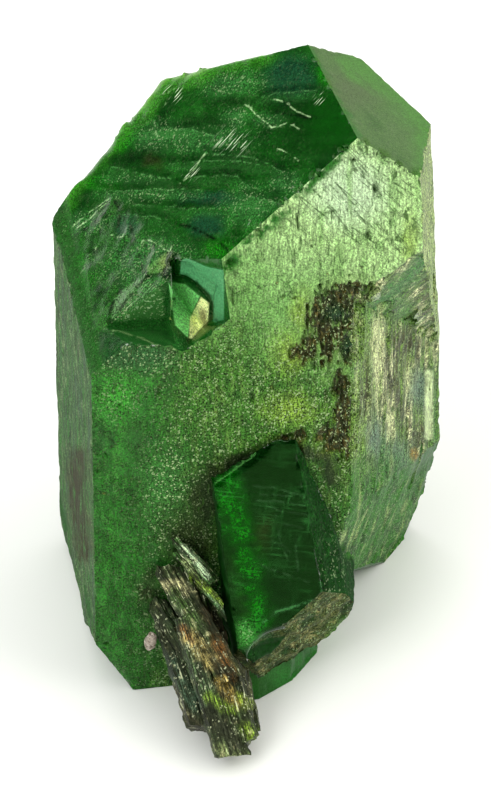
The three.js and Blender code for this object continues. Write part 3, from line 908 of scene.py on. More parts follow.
class MainPaint(Paint):
    """The main crystal's finish, face by face."""

    def __init__(self, skin, names, noise):
        base = dict(rough=0.3, clear=0.5, bump=0.4, dash=0, line=0, glitter=0, veil=0, speck=0.3, glint=0)
        super().__init__(skin, (40, 110, 38), **base)
        self.names = names[skin.wedge_patch]
        wobble = [noise.layered(self.points + shift, 0.9, 3) for shift in (3, 40)]
        self.ragged = self.picture + 7 * np.stack(wobble, axis=1)
        shake = [noise(self.points + shift, 0.8) for shift in (5, 25)]
        self.shaken = self.picture + 1.4 * np.stack(shake, axis=1)
        self.tiny = noise.layered(self.points + 12, 0.3, 2)
        self.cloud = noise.layered(self.points, 2.4, 4)
        self.small = noise.layered(self.points + 50, 0.7, 3)
        self.fibre = noise.layered(self.points, (0.5, 0.5, 5.0), 3)
        self.fine_fibre = noise.layered(self.points + 31, (0.22, 0.22, 1.8), 3)
        self.roof_left()
        self.front()
        self.roof_right()
        self.broken_right()
        self.left()
        self.rear()
        self.broken_edge()
        self.roof_cracks()
        self.left_edge()
        self.foot_lobe()

    def on(self, *names):
        return np.isin(self.names, names).astype(float)

    def fine_lines(self, routes, width):
        """Thin lines along routes in the photograph, shaky and fading in places."""
        return streaks(self.shaken, routes, width, 0.7) * smooth(-0.35, 0.15, self.tiny + 0.5 * self.small)

    def roof_left(self):
        on, picture, ragged = self.on("roof_left"), self.picture, self.ragged
        self.coat(on, (18, 92, 16), rough=0.1, clear=0.5, bump=0.1, veil=0.35, speck=0.7, glitter=0.1)
        self.coat(on * smooth(0.0, 0.4, self.cloud), (4, 64, 8))
        self.coat(on * smooth(-0.1, -0.45, self.cloud), (40, 124, 34))
        broken = on * outline(ragged, BROKEN_CORNER, 8)
        self.coat(broken, (36, 108, 26), rough=0.25, bump=0.3, veil=0.2, speck=1.0, glitter=0.15)
        self.coat(broken * smooth(0.0, 0.35, self.small), (6, 60, 10), glitter=0.1)
        self.coat(on * spots(ragged, TEAL_AREAS), (22, 78, 48), veil=0.5)
        self.coat(on * spots(ragged, GREEN_AREAS), (26, 132, 14), veil=0.2)
        veiled = 0.7 * on * spots(ragged, VEILED_AREAS, 0.8)
        self.coat(veiled, (62, 128, 60), veil=0.9, glitter=0.9, rough=0.14)
        self.coat(0.7 * on * spots(ragged, DARK_AREAS, 0.9), (2, 44, 4), veil=0.1, glitter=0.05)
        self.coat(on * spot(ragged, *DEEP_AREA, 0.9), (8, 88, 8), veil=0.1, glitter=0.0, speck=0.5)
        self.coat(0.5 * on * streak(ragged, BROWN_STAIN, 6, 0.9), (56, 50, 20), veil=0.1)
        below, above = self.shaken - (0, 5), self.shaken + (0, 4)
        self.coat(0.4 * on * streaks(below, LENS_EDGES, 4, 0.9), (50, 118, 46), veil=0.8)
        self.coat(0.5 * on * streaks(above, LENS_EDGES, 3, 0.9), (2, 50, 6), veil=0.1)
        self.coat(0.5 * on * self.fine_lines(LENS_EDGES, 0.8), (96, 156, 88), clear=0.3)
        self.coat(on * spots(picture, GLINT_AREAS), glint=1.0)
        # Painted glow: a bright green band along the thin rear rim, palest right at its edge, stands for
        # light shining through the crystal there.
        rim = on * streak(ragged, REAR_RIM, 12, 0.9)
        self.coat(rim, (70, 168, 34), rough=0.3, clear=0.5, veil=0.15, glitter=0.1, bump=0.3)
        self.coat(on * streak(picture, REAR_RIM, 4, 0.9), (122, 196, 70), clear=0.4)

    def front(self):
        on, picture, ragged = self.on("front"), self.picture, self.ragged
        across, down = picture.T
        height = down - FRONT_TILT * (across - FRONT_MIDDLE)
        self.coat(on, (112, 162, 84), rough=0.45, clear=0.2, bump=0.8, dash=0.8, speck=0.5, glitter=0.4)
        # Painted sheen: the pale top, and the paler patch at GREY_TOP, are the frosted face's own tone with
        # reflected light painted in.
        top = on * smooth(*FRONT_TOP, height + 40 * self.cloud)
        self.coat(top, (168, 202, 134), rough=0.4, clear=0.05, line=1.0, dash=1.0, speck=0.45, glitter=0.0)
        self.coat(on * spot(ragged, *GREY_TOP, 0.7), (188, 214, 170), speck=0.4, dash=0.7)
        self.coat(0.6 * on * smooth(0.05, 0.4, self.fibre), (128, 172, 96))
        self.coat(0.6 * on * smooth(0.1, 0.4, self.small), (76, 118, 54), speck=0.9)
        lower = on * smooth(*FRONT_LOWER, height + 46 * self.cloud)
        self.coat(lower, (58, 108, 32), clear=0.3, dash=0.9, speck=1.0, glitter=0.8)
        self.coat(on * smooth(*FRONT_LOWEST, height + 36 * self.cloud), (36, 90, 22))
        self.coat(0.7 * lower * smooth(0.0, 0.3, self.small), (32, 80, 22))
        self.coat(0.6 * lower * smooth(0.0, 0.3, self.fine_fibre), (110, 144, 64))
        slanted = across + 34 * self.small + 0.06 * (down - CLEAR_MIDDLE)
        left = on * smooth(*CLEAR_EDGE, slanted) * smooth(*CLEAR_TOP, down)
        self.coat(left, (14, 88, 10), clear=0.45, rough=0.3, dash=0.5, speck=1.0, glitter=0.1, veil=0.8)
        self.coat(0.8 * left * smooth(0.0, 0.3, self.cloud), (6, 54, 18))
        self.coat(0.7 * left * smooth(0.0, 0.3, self.fibre), (46, 132, 32))
        self.coat(0.6 * left * smooth(0.05, 0.3, self.fine_fibre), (58, 130, 44))
        self.coat(0.7 * left * smooth(0.1, 0.4, self.small), (16, 78, 14))
        self.coat(0.6 * left * streak(ragged, CLEAR_SHADE, 8, 0.9), (20, 60, 16))
        self.coat(on * spot(ragged, *CLEAR_BRIGHT, 0.8), (50, 142, 36), glitter=0.5)
        self.coat(on * spot(ragged, *CLEAR_DULL), (40, 88, 44), clear=0.3, glitter=0.7, speck=0.9)
        self.coat(0.8 * on * spot(ragged, *CLEAR_GLITTER, 0.8), (50, 104, 44), glitter=1.0, clear=0.2)
        self.coat(0.6 * on * spots(ragged, YELLOW_SPOTS, 0.9), (140, 168, 58), clear=0.1)
        self.coat(on * spots(ragged, DARK_FOOT, 0.7), (34, 44, 20), clear=0.1, rough=0.6, glitter=0.3)
        self.coat(on * streak(ragged, CRYSTAL_SHADOW, 7, 0.8), (22, 32, 14), clear=0.1, glitter=0.1)
        self.coat(0.6 * on * spots(ragged, RUST, 1.0), (106, 118, 50), clear=0.1, glitter=0.6)
        rust = on * rust_share(picture, self.fine_fibre, self.small)
        self.coat(rust, (38, 30, 16), clear=0.0, rough=0.35, bump=1.0, glitter=0.5, speck=1.0)
        self.coat(0.8 * rust * smooth(0.1, 0.4, self.tiny + self.fine_fibre), (96, 84, 46))
        self.coat(0.8 * on * spots(ragged, TEAL_CORE, 0.8), (14, 50, 32), rough=0.15, glitter=0.4)
        self.coat(on * spots(ragged, GOLD_SPECKS, 0.8), glitter=1.0)
        self.coat(on * 0.85 * self.fine_lines(FRONT_LINES, 0.7), (44, 78, 30))
        self.coat(on * 0.7 * self.fine_lines(FRONT_LOOPS, 0.8), (48, 84, 34))
        self.coat(0.8 * on * spots(self.shaken, BLACK_PITS, 0.6), (22, 44, 16), clear=0.0, glitter=0.0)
        self.coat(0.5 * on * spots(ragged, EDGE_CHIPS, 0.7), (60, 120, 48))
        bites = streak(picture, ROOF_EDGE, 6, 0.7) * smooth(-0.05, 0.1, self.small + 0.5 * self.tiny)
        self.coat(on * bites, (36, 110, 30), clear=0.4, line=0.0, dash=0.0)

    def roof_right(self):
        on = self.on("roof_right")
        self.coat(on, (76, 112, 52), rough=0.6, clear=0.2, bump=0.5, line=0.3, speck=0.45, glitter=0.08)
        self.coat(on * smooth(0.0, 0.5, self.cloud), (58, 98, 34))
        self.coat(0.5 * on * smooth(0.1, 0.4, self.small), (96, 124, 74))
        self.coat(0.6 * on * spot(self.ragged, *ROOF_GREY, 0.8), (84, 98, 62))
        rim = smooth(30, 6, distance_to(self.ragged, ROOF_RIM) + 10 * self.cloud)
        self.coat(on * rim, (84, 150, 50), clear=0.4)
        self.coat(on * streak(self.ragged, ROOF_RIDGE, 3, 0.9), (52, 112, 34))

    def broken_right(self):
        on, picture, ragged = self.on("slab", "right", "ramp"), self.picture, self.ragged
        self.coat(on, (98, 130, 52), rough=0.5, clear=0.12, bump=1.0, dash=1.0, speck=1.0, glitter=0.4)
        self.coat(on * smooth(0.0, 0.25, self.fibre), (206, 208, 158), clear=0.02)
        self.coat(0.9 * on * smooth(0.0, 0.2, self.fine_fibre), (56, 84, 32), clear=0.2)
        self.coat(0.8 * on * smooth(0.15, 0.35, self.small), (70, 60, 30), clear=0.05)
        self.coat(0.8 * on * smooth(0.1, 0.3, self.tiny), (44, 62, 26), clear=0.1)
        ramp = self.on("ramp", "slab")
        self.coat(0.8 * ramp * streak(ragged, SLAB_STEP, 8, 0.8), (44, 124, 42), clear=0.3)
        self.coat(0.7 * ramp * spots(ragged, SLAB_GREEN, 0.8), (70, 132, 52), clear=0.3)
        self.coat(0.6 * self.on("right"), (148, 172, 100))
        slab = self.on("slab")
        seam = slab * smooth(26, 4, distance_to(ragged, SLAB_SEAM))
        self.coat(0.6 * seam, (110, 142, 66), glitter=0.8)
        brown = ramp * spots(ragged, SLAB_BROWN, 0.8)
        self.coat(brown * smooth(-0.3, 0.05, self.fine_fibre + 0.5 * self.small), (52, 46, 24), clear=0.0)
        pale = slab * spots(ragged, SLAB_PALE, 0.9) * smooth(-0.3, 0.1, self.fibre + self.fine_fibre)
        self.coat(pale, (196, 202, 150), clear=0.0, speck=0.6)
        self.coat(slab * spots(ragged, SLAB_GREY, 0.8), (92, 116, 96))
        self.coat(slab * streak(picture, SLAB_GLINT, 4, 0.3), (206, 224, 168), speck=0.2)
        self.coat(slab * spot(picture, *SLAB_RUST), (150, 92, 24), clear=0.0)
        low = self.on("slab", "undercut") * smooth(*SLAB_FOOT, picture[:, 1] + 40 * self.cloud)
        self.coat(low, (50, 116, 28), clear=0.4, rough=0.6, glitter=0.5, dash=0.4, veil=0.5, speck=1.0)
        self.coat(low * smooth(0.05, 0.3, self.small), (34, 74, 20))
        self.coat(0.8 * low * smooth(0.1, 0.4, self.fibre), (150, 168, 104), clear=0.1)

    def left(self):
        on = self.on("left")
        self.coat(on, (70, 110, 58), rough=0.75, clear=0.15, bump=1.0, dash=1.0, speck=1.0)
        self.coat(on * smooth(0.0, 0.3, self.fibre), (58, 86, 64))
        self.coat(on * smooth(0.0, -0.3, self.fibre), (34, 112, 24), clear=0.3)
        self.coat(0.8 * on * smooth(0.0, 0.3, self.fine_fibre), (26, 44, 18))
        self.coat(0.6 * on * smooth(0.1, 0.35, self.small), (120, 140, 96))
        brown = on * streak(self.ragged, LEFT_BROWN, 9, 0.8)
        brown *= smooth(-0.5, 0.0, self.fine_fibre + 0.5 * self.small)
        self.coat(brown, (42, 24, 10), clear=0.0)

    def rear(self):
        on = self.on("back", "back_right", "back_left", "roof_back")
        self.coat(on, (66, 122, 50), rough=0.34, clear=0.4, bump=0.8, dash=0.3, glitter=0.3, speck=0.6)
        self.coat(on * smooth(0.0, 0.45, self.fibre), (126, 156, 92), clear=0.15)
        self.coat(on * smooth(0.2, 0.5, 0.6 * self.small + 0.4 * self.cloud), (74, 66, 36), clear=0.05)
        self.coat(self.on("base"), (60, 96, 50), rough=0.6, clear=0.2, speck=0.7)

    def broken_edge(self):
        picture = self.picture
        near = (self.points[:, 1] < 4) & (self.points[:, 2] > 20)
        on = self.on("broken") * near
        self.coat(on, (34, 96, 36), rough=0.16, clear=0.4, bump=0.2, speck=0.3, glitter=0.1)
        broken = self.on("roof_left", "broken") * near
        for corners, color in BROKEN_FACETS:
            self.coat(0.85 * broken * outline(self.shaken, corners, 2.5), color, veil=0.1, speck=0.8)
        self.coat(0.9 * broken * outline(picture, DIAMOND, 1.5), (104, 158, 78), speck=0.8)
        self.coat(0.9 * broken * streak(self.shaken, [*DIAMOND, DIAMOND[0]], 1.6), (0, 36, 4))
        self.coat(0.7 * broken * spot(self.shaken, *DIAMOND_LIGHT, 0.8), (150, 170, 96), glitter=1.0)
        sparkly = 0.9 * broken * outline(picture, SPARKLY_TRIANGLE, 1.5)
        self.coat(sparkly, (74, 136, 66), glitter=0.8, glint=0.3)
        ledge = self.on("roof_left", "broken", "front") * near
        self.coat(0.8 * ledge * outline(self.shaken, DARK_LEDGE, 1.5), (48, 116, 46))
        self.coat(ledge * self.fine_lines([LEDGE_LIGHT], 0.8), (120, 160, 96))
        self.coat(on * outline(picture, PIT_WALL, 0.8), (84, 158, 104), clear=0.1, rough=0.3)
        self.coat(on * outline(picture, PIT_FLOOR, 0.8), (126, 216, 118), clear=0.1, rough=0.3, speck=0.5)
        self.coat(on * streak(picture, PIT_SHADOW, 2.6, 0.3), (8, 50, 14), clear=0.3)
        self.coat(on * outline(picture, PIT_BEIGE, 0.8), (240, 250, 168), clear=0.0, speck=0.5, rough=0.5)
        self.coat(0.7 * on * spot(self.shaken, *PIT_BROWN), (140, 116, 70), clear=0.0)
        self.coat(on * outline(picture, PIT_FOOT, 1.0), (22, 96, 22), clear=0.4)

    def roof_cracks(self):
        on = self.on("roof_left", "broken") * (self.points[:, 2] > 20)
        self.coat(0.9 * on * self.fine_lines(DARK_CURVES, 1.5), (0, 28, 2), clear=0.5, veil=0.0)
        self.coat(0.8 * on * self.fine_lines(PALE_CURVES, 0.6), (190, 226, 164), clear=0.1, rough=0.1)

    def left_edge(self):
        """The narrow, worn green strip between the left face and the dark roof face."""
        tilt = self.skin.normals[self.skin.wedge_patch][:, 2]
        strip = np.maximum(self.on("left") * smooth(0.04, 0.12, tilt), self.on("roof_left", "broken"))
        on = strip * smooth(1.0, 0.5, self.points[:, 0]) * (self.picture[:, 0] < LEFT_EDGE_END)
        self.coat(on, (24, 88, 20), rough=0.8, clear=0.2, dash=0.1, bump=0.4, speck=0.8, veil=0.0)
        self.coat(0.7 * on * smooth(0.0, 0.3, self.small), (14, 60, 12))

    def foot_lobe(self):
        low = (self.points[:, 2] < 7) & (self.points[:, 1] < 6)
        on = low * spot(self.picture, *LOBE_AREA, 0.3)
        self.coat(on, (30, 124, 34), rough=0.3, clear=0.45, bump=0.2)
        self.coat(on, dash=0.0, speck=0.4, glitter=0.02, veil=0.5)
        self.coat(on * smooth(0.0, 0.4, self.cloud), (16, 96, 24))


def shape_main(skin, faces, noise):
    """Heals the grooves, and then roughens the faces, wears the edges and sinks the rusty patches."""
    face_at = faces.names[skin.patch]
    skin.heal(faces)
    p = skin.places
    picture = in_picture(p)
    relief = skin.at_places(np.array([RELIEF[name] for name in face_at]))
    fibres = noise.layered(p, (0.45, 0.45, 4.5), 4, 0.6)
    ledges = np.round(4 * noise.layered(p, (0.8, 0.8, 6.0), 2)) / 4
    lumps = noise.layered(p, 2.2, 4)
    move = relief[:, 0] * (fibres + 0.7 * ledges) + relief[:, 1] * lumps
    move += relief[:, 2] * noise.scoops(p, (2.2, 2.2, 3.0))
    roof = skin.at_places((face_at == "roof_left").astype(float))
    broken = roof * outline(picture, BROKEN_CORNER, 8)
    broken *= smooth(0.0, 0.7, skin.crease_distance)
    small_scoops = noise.scoops(p, (0.9, 1.2, 0.9), 1.3)
    move += broken * (0.08 + 0.15 * small_scoops + 0.03 * noise.layered(p, 0.35, 2))
    rim = roof * streak(picture, REAR_RIM, 14, 0.6)
    wide_scoops = noise.scoops(p, (1.4, 2.0, 1.4), 0.7)
    move += rim * (0.16 + 0.2 * wide_scoops + 0.05 * noise.layered(p, 0.6, 2))
    wear = (1 - smooth(0, 0.28, skin.crease_distance)) * (1 - 0.8 * rim)
    move -= wear * (0.02 + 0.12 * noise.share(p, (0.8, 0.8, 1.0), 0.02, 0.4))
    wobble = np.stack([noise.layered(p + shift, 0.9, 3) for shift in (3, 40)], axis=1)
    near_front = p[:, 1] < 1.0
    fine_fibres = noise.layered(p + 31, (0.22, 0.22, 1.8), 3)
    rust = rust_share(picture, fine_fibres, noise.layered(p + 50, 0.7, 3)) * near_front
    move -= rust * (0.12 + 0.25 * noise.share(p, (0.24, 0.5, 0.7), -0.25, 0.25))
    move -= 0.2 * spots(picture, BLACK_PITS, 0.4) * near_front
    move -= 0.4 * spots(picture + 3 * wobble, EDGE_CHIPS, 0.7) * (p[:, 1] < 3)
    on_base = skin.at_places((face_at == "base").astype(float))
    skin.places = p + skin.vertex_normals() * (move * (1 - smooth(0, 0.5, on_base)))[:, None]
    skin.relax(0.6 * np.maximum(rim, broken), 2)
    skin.places[:, 2] = np.maximum(skin.places[:, 2], 0)


def look_main():
    look = Look("green_diopside")
    rough, clear, bump = look.split("finish")
    dash, line, glitter = look.split("marks")
    veil, speck, glint = look.split("inside")

    grit = look.noise(look.upright(12, 9), 2, 0.6)
    grain = look.noise(look.upright(9, 1.6), 2, 0.6)
    thick = look.map(look.noise(look.upright(1.5, 0.6)), 0.44, 0.58)
    dashes = look.product(look.map(look.noise(look.upright(7, 1.5), 1), 0.6, 0.66), thick, dash)
    slanted = look.along((2.2, 0, 1.7), (0.07, 0, -0.09), (0, 1.0, 0))
    lines = look.product(look.thin_lines(slanted, 0.02), look.map(thick, 0.0, 1.0, 1.0, 0.4), line)
    sparse = look.map(look.noise(look.upright(0.9, 0.9), 4, 0.7), 0.4, 0.6, 0.97, 0.86)
    sparks = look.cells(look.upright(13, 12))
    specks = look.product(look.math("GREATER_THAN", sparks, sparse), glitter)

    # Across the dark roof face, the bands lie level in the photograph and the glints run up its slope.
    level = look.along((0.05, -0.075, 0.05), (0.9, 1.2, 0.9), (-0.6, 0, 0.6))
    bands = look.map(look.noise(level, 4, 0.6), 0.46, 0.66)
    wisps = look.map(look.noise(look.upright(1.6, 1.6), 5, 0.7, 1.5), 0.5, 0.7)
    cracks = look.thin_lines(look.upright(0.8, 0.8), 0.012, 3.0)
    faint_bands = look.product(bands, 0.7)
    threads = look.math("MAXIMUM", wisps, cracks)
    haze = look.product(look.math("MAXIMUM", faint_bands, threads), veil)
    sloping = look.along((0.6, 0.16, 0.6), (-1.4, 11.0, -1.4), (-3.0, 0, 3.0))
    glints = look.product(look.map(look.noise(sloping, 1), 0.62, 0.67), glint)

    color = look.uneven(look.stored("tint"), grit, speck)
    color = look.uneven(color, grain, look.product(dash, 0.4))
    color = look.mix(look.product(haze, 0.6), color, (0.05, 0.24, 0.045, 1))
    color = look.mix(look.product(dashes, 0.85), color, (0.03, 0.08, 0.012, 1))
    color = look.mix(look.product(lines, 0.85), color, (0.04, 0.09, 0.02, 1))
    color = look.mix(look.product(specks, 0.75), color, (0.62, 0.80, 0.40, 1))
    color = look.mix(glints, color, (0.75, 0.9, 0.6, 1))
    pale = look.math("MAXIMUM", look.product(haze, 0.5), glints)
    raised = look.product(look.math("ADD", grit, grain), bump)
    height = look.math("SUBTRACT", raised, look.math("ADD", dashes, lines))
    look.set(
        Base_Color=color,
        Roughness=rough,
        Transmission_Weight=look.math("SUBTRACT", clear, pale, clamp=True),
        IOR=DIOPSIDE_IOR,
        Specular_Tint=SHEEN_TINT,
        Normal=look.bump(height, 0.05),
    )
    look.absorb(GREEN_LEFT, density=170.0)
    return look


MAIN_GROUPS = {
    "finish": ("rough", "clear", "bump"),
    "marks": ("dash", "line", "glitter"),
    "inside": ("veil", "speck", "glint"),
}


def main_crystal():
    lines = [*LENS_EDGES, *PALE_CURVES, *DARK_CURVES, *FRONT_LINES, *FRONT_LOOPS, LEDGE_LIGHT, PIT_SHADOW]
    lines += [[*corners, corners[0]] for corners in (PIT_WALL, PIT_FLOOR, PIT_BEIGE, PIT_FOOT)]
    skin = Skin("main_crystal", pitch=0.15, hidden_pitch=0.28, routes=lines, ellipses=RUST_BODY)
    faces = Faces(skin, FACE_DIRECTIONS)
    skin.find_creases(faces.names, angle=20)
    noise = Noise(5)
    shape_main(skin, faces, noise)
    paint = MainPaint(skin, faces.names, noise)
    add_piece(skin, look_main(), paint, MAIN_GROUPS, "main_crystal")


# Places in the photograph on the smaller crystal's glossy face.
SIDE_GLOW = [
    [(224, 484), (230, 506), (240, 534), (246, 548)],
    [(246, 560), (250, 580)],
    [(252, 590), (256, 606), (250, 632)],
]
SIDE_VEILS = [
    [(254, 486), (276, 488), (310, 498)], [(262, 565), (279, 572), (309, 582)], [(272, 541), (290, 552)],
    [(268, 506), (286, 512), (306, 514)], [(256, 500), (282, 502), (304, 506)], [(260, 494), (292, 496)],
    [(276, 516), (279, 536), (288, 560)], [(296, 540), (298, 570)], [(284, 524), (304, 528)],
]
SIDE_EDGES = [
    [(263, 622), (276, 612), (296, 606), (314, 600)], [(317, 536), (319, 566), (322, 592)],
    [(211, 494), (212, 512), (215, 528)],
]

SIDE_VEILED = ((292, 528), (30, 50))
SIDE_DEEP = ((288, 588), (30, 16))
SIDE_BROWN = ((264, 532), (9, 16))
SIDE_SHADE = [(228, 560), (240, 600), (244, 636)]
SIDE_TIP = ((246, 636), (10, 12))

# Places in the photograph on its right face, its broken end and its top.
SIDE_OUTER = [(328, 478), (344, 520), (346, 560), (360, 560), (352, 500), (338, 466)]
SIDE_SPECKS = ((334, 584), (14, 40))
END_GREEN = ((345, 640), (16, 18))
END_GREY = ((262, 640), (12, 10))
TOP_GOLD = ((326, 487), (4, 8))


def shape_side(skin, faces, noise):
    skin.heal(faces)
    p = skin.places
    normals = skin.at_places(skin.normals[skin.patch])
    glossy = skin.at_places((faces.names == "glossy")[skin.patch].astype(float))
    rough_end = smooth(0.2, -0.3, normals[:, 2]) * (1 - glossy)
    wear = 1 - smooth(0, 0.2, skin.crease_distance)
    move = 0.1 * noise.layered(p, (0.5, 0.5, 2.0), 3) * (1 - glossy) + 0.006 * noise.layered(p, 2.5, 2)
    move += rough_end * (0.08 + 0.3 * noise.scoops(p, 0.9, 1.0) + 0.08 * noise.layered(p, 0.35, 2))
    move -= wear * (0.02 + 0.1 * noise.share(p, 0.7, 0.05, 0.4))
    skin.places = p + skin.vertex_normals() * move[:, None]


def paint_side(skin, names, noise):
    base = dict(rough=0.07, clear=0.8, bump=0.1, veil=0.4, glitter=0.0, speck=0.4)
    paint = Paint(skin, (2, 46, 2), **base)
    picture, normals = paint.picture, skin.normals[skin.wedge_patch]
    glossy = (names[skin.wedge_patch] == "glossy").astype(float)
    other = 1 - glossy
    cloud = noise.layered(paint.points, 1.2, 3)
    small = noise.layered(paint.points + 9, 0.5, 3)
    wobble = [noise.layered(paint.points + shift, 1.0, 3) for shift in (3, 40)]
    ragged = picture + 8 * np.stack(wobble, axis=1)
    shake = [noise(paint.points + shift, 0.6) for shift in (3, 40)]
    shaken = picture + 1.2 * np.stack(shake, axis=1)
    paint.coat(other, rough=0.6, clear=0.3)
    glow = glossy * streaks(ragged, SIDE_GLOW, 14, 0.9) * smooth(-0.9, 0.3, small + 0.6 * cloud)
    paint.coat(glow, (4, 108, 4), clear=0.5, veil=0.6, speck=0.9)
    paint.coat(0.5 * glow * smooth(0.1, 0.4, small), (22, 134, 16), clear=0.4)
    paint.coat(0.6 * glossy * spot(ragged, *SIDE_VEILED, 0.8), (12, 50, 14), veil=1.0)
    paint.coat(0.7 * glossy * spot(ragged, *SIDE_DEEP, 0.8), (0, 40, 2), veil=0.3)
    paint.coat(0.7 * glossy * spot(ragged, *SIDE_BROWN, 0.8), (44, 42, 18), clear=0.4)
    paint.coat(0.6 * glossy * streak(ragged, SIDE_SHADE, 7, 0.9), (26, 50, 16))
    faint = smooth(-0.4, 0.2, small)
    paint.coat(0.3 * glossy * faint * streaks(shaken, SIDE_VEILS, 0.9, 0.8), (96, 144, 96), clear=0.3)
    paint.coat(0.7 * glossy * faint * streaks(shaken, SIDE_EDGES, 1.4, 0.8), (76, 140, 80), clear=0.3)
    paint.coat(glossy * spot(ragged, *SIDE_TIP, 0.8), (58, 132, 50), clear=0.3, glitter=0.5)
    right = other * smooth(0.35, 0.6, normals[:, 0])
    paint.coat(right, (0, 44, 0), rough=0.9, clear=0.3, bump=0.8, glitter=0.05, speck=1.0)
    paint.coat(0.7 * right * smooth(0.1, 0.4, small), (18, 76, 14))
    paint.coat(right * spot(ragged, *SIDE_SPECKS, 0.8), glitter=0.6)
    paint.coat(right * outline(ragged, SIDE_OUTER, 4), (50, 104, 30), rough=0.9, clear=0.1, glitter=0.3)
    end = other * smooth(-0.1, -0.35, normals[:, 2])
    paint.coat(end, (76, 78, 42), rough=0.7, clear=0.1, bump=1.0, glitter=0.5, speck=1.0)
    paint.coat(end * smooth(0.0, 0.3, cloud), (36, 38, 16), clear=0.0)
    paint.coat(0.8 * end * smooth(0.15, 0.4, small), (140, 132, 88), clear=0.0)
    paint.coat(0.8 * end * smooth(-0.15, -0.4, small), (30, 44, 14), clear=0.0)
    paint.coat(0.8 * end * spot(ragged, *END_GREEN), (64, 128, 36), glitter=1.0)
    paint.coat(0.8 * end * spot(ragged, *END_GREY), (60, 90, 60))
    top = other * smooth(0.6, 0.85, normals[:, 2])
    paint.coat(top, (40, 50, 24), rough=0.6, clear=0.1, glitter=0.5)
    paint.coat(spot(picture, *TOP_GOLD), (150, 100, 24), clear=0.1)
    return paint


def look_side():
    look = Look("clear_diopside")
    rough, clear, bump = look.split("finish")
    veil, glitter, speck = look.split("inside")
    level = look.along((0.5, 0, -0.1), (0, 1.5, 0), (1.4, 0, 7.0))
    steep = look.along((5.0, 0, -1.0), (0, 1.5, 0), (0.1, 0, 0.5))
    level_threads = look.map(look.noise(level, 3), 0.46, 0.64)
    steep_threads = look.map(look.noise(steep, 3), 0.5, 0.7)
    threads = look.math("MAXIMUM", level_threads, steep_threads)
    patches = look.map(look.noise(look.upright(0.7, 0.5), 4, 0.6), 0.42, 0.58, 0.3, 1.0)
    haze = look.product(threads, patches, veil)
    sparse = look.map(look.noise(look.upright(1.6, 1.2), 4, 0.7), 0.42, 0.6, 0.99, 0.84)
    specks = look.product(look.math("GREATER_THAN", look.cells(look.upright(12, 10)), sparse), glitter)
    grit = look.noise(look.upright(10, 10), 2, 0.6)
    color = look.uneven(look.stored("tint"), grit, speck)
    color = look.mix(haze, color, (0.022, 0.115, 0.024, 1))
    color = look.mix(look.product(specks, 0.7), color, (0.5, 0.7, 0.34, 1))
    look.set(
        Base_Color=color,
        Roughness=rough,
        Transmission_Weight=look.math("SUBTRACT", clear, look.product(haze, 0.8), clamp=True),
        IOR=DIOPSIDE_IOR,
        Specular_Tint=DEEP_SHEEN_TINT,
        Normal=look.bump(look.product(grit, bump), 0.06),
    )
    look.absorb(GREEN_LEFT, density=240.0)
    return look


SIDE_GROUPS = {"finish": ("rough", "clear", "bump"), "inside": ("veil", "glitter", "speck")}


def side_crystal():
    skin = Skin("side_crystal", pitch=0.11, hidden_pitch=0.2, routes=[*SIDE_VEILS, *SIDE_EDGES], seed=2)
    toward = skin.normals @ unit((0, -1, 0.3))
    faces = Faces(skin, {"glossy": skin.normals[np.argmax(np.where(toward > 0.9, skin.sizes, 0))]})
    skin.find_creases(faces.names, angle=14)
    noise = Noise(11)
    shape_side(skin, faces, noise)
    paint = paint_side(skin, faces.names, noise)
    add_piece(skin, look_side(), paint, SIDE_GROUPS, "side_crystal")


# Places in the photograph on the blades: their colours from the top of the bunch to its broken tip.
# The whitish streaks on the top blades are painted highlights, and the near-black streak in the gap
# under the top blade and the dark streaks on the shadowed blade at the far left are painted shade.
BLADE_COLORS = [
    ([(164, 534), (178, 548), (196, 568), (220, 586)], 9, (58, 100, 44)),
    ([(182, 546), (196, 562), (208, 576)], 3, (196, 224, 176)),
    ([(168, 540), (180, 556), (194, 578), (212, 602), (232, 620)], 6, (44, 84, 32)),
    ([(184, 560), (198, 580), (206, 592)], 2.5, (190, 214, 140)),
    ([(204, 590), (214, 600), (232, 618)], 2, (170, 224, 180)),
    ([(192, 578), (210, 592), (224, 606)], 4, (122, 152, 40)),
    ([(166, 586), (176, 584), (184, 590)], 6, (196, 192, 140)),
    ([(174, 590), (184, 606), (196, 626)], 5, (74, 102, 50)),
    ([(162, 596), (172, 622), (186, 648)], 6, (44, 62, 36)),
    ([(158, 620), (168, 650), (176, 668)], 7, (34, 40, 26)),
    ([(196, 592), (206, 610), (214, 630)], 5, (26, 24, 12)),
    ([(206, 612), (222, 630), (230, 646)], 6, (44, 26, 14)),
    ([(188, 636), (200, 648), (212, 662)], 7, (206, 190, 120)),
    ([(182, 628), (192, 642)], 4, (110, 74, 36)),
    ([(216, 640), (224, 660), (232, 678)], 6, (92, 56, 22)),
    ([(212, 660), (222, 672), (230, 686)], 5, (30, 20, 12)),
    ([(220, 682), (228, 692), (234, 704)], 6, (186, 160, 84)),
    ([(234, 648), (246, 672), (252, 690)], 7, (40, 36, 20)),
    ([(170, 664), (182, 684), (196, 706)], 9, (62, 86, 66)),
    ([(190, 664), (204, 684), (212, 700)], 6, (74, 96, 62)),
    ([(170, 688), (184, 712), (204, 738)], 6, (58, 52, 40)),
    ([(210, 698), (222, 704), (232, 710)], 6, (116, 148, 44)),
    ([(240, 698), (250, 706)], 5, (120, 140, 44)),
    ([(206, 714), (222, 728), (236, 742)], 8, (40, 42, 30)),
    ([(248, 664), (256, 690), (262, 716)], 4, (88, 92, 48)),
    ([(246, 726), (256, 738), (260, 748)], 6, (110, 136, 40)),
    ([(218, 748), (230, 756), (244, 758)], 6, (122, 136, 84)),
]


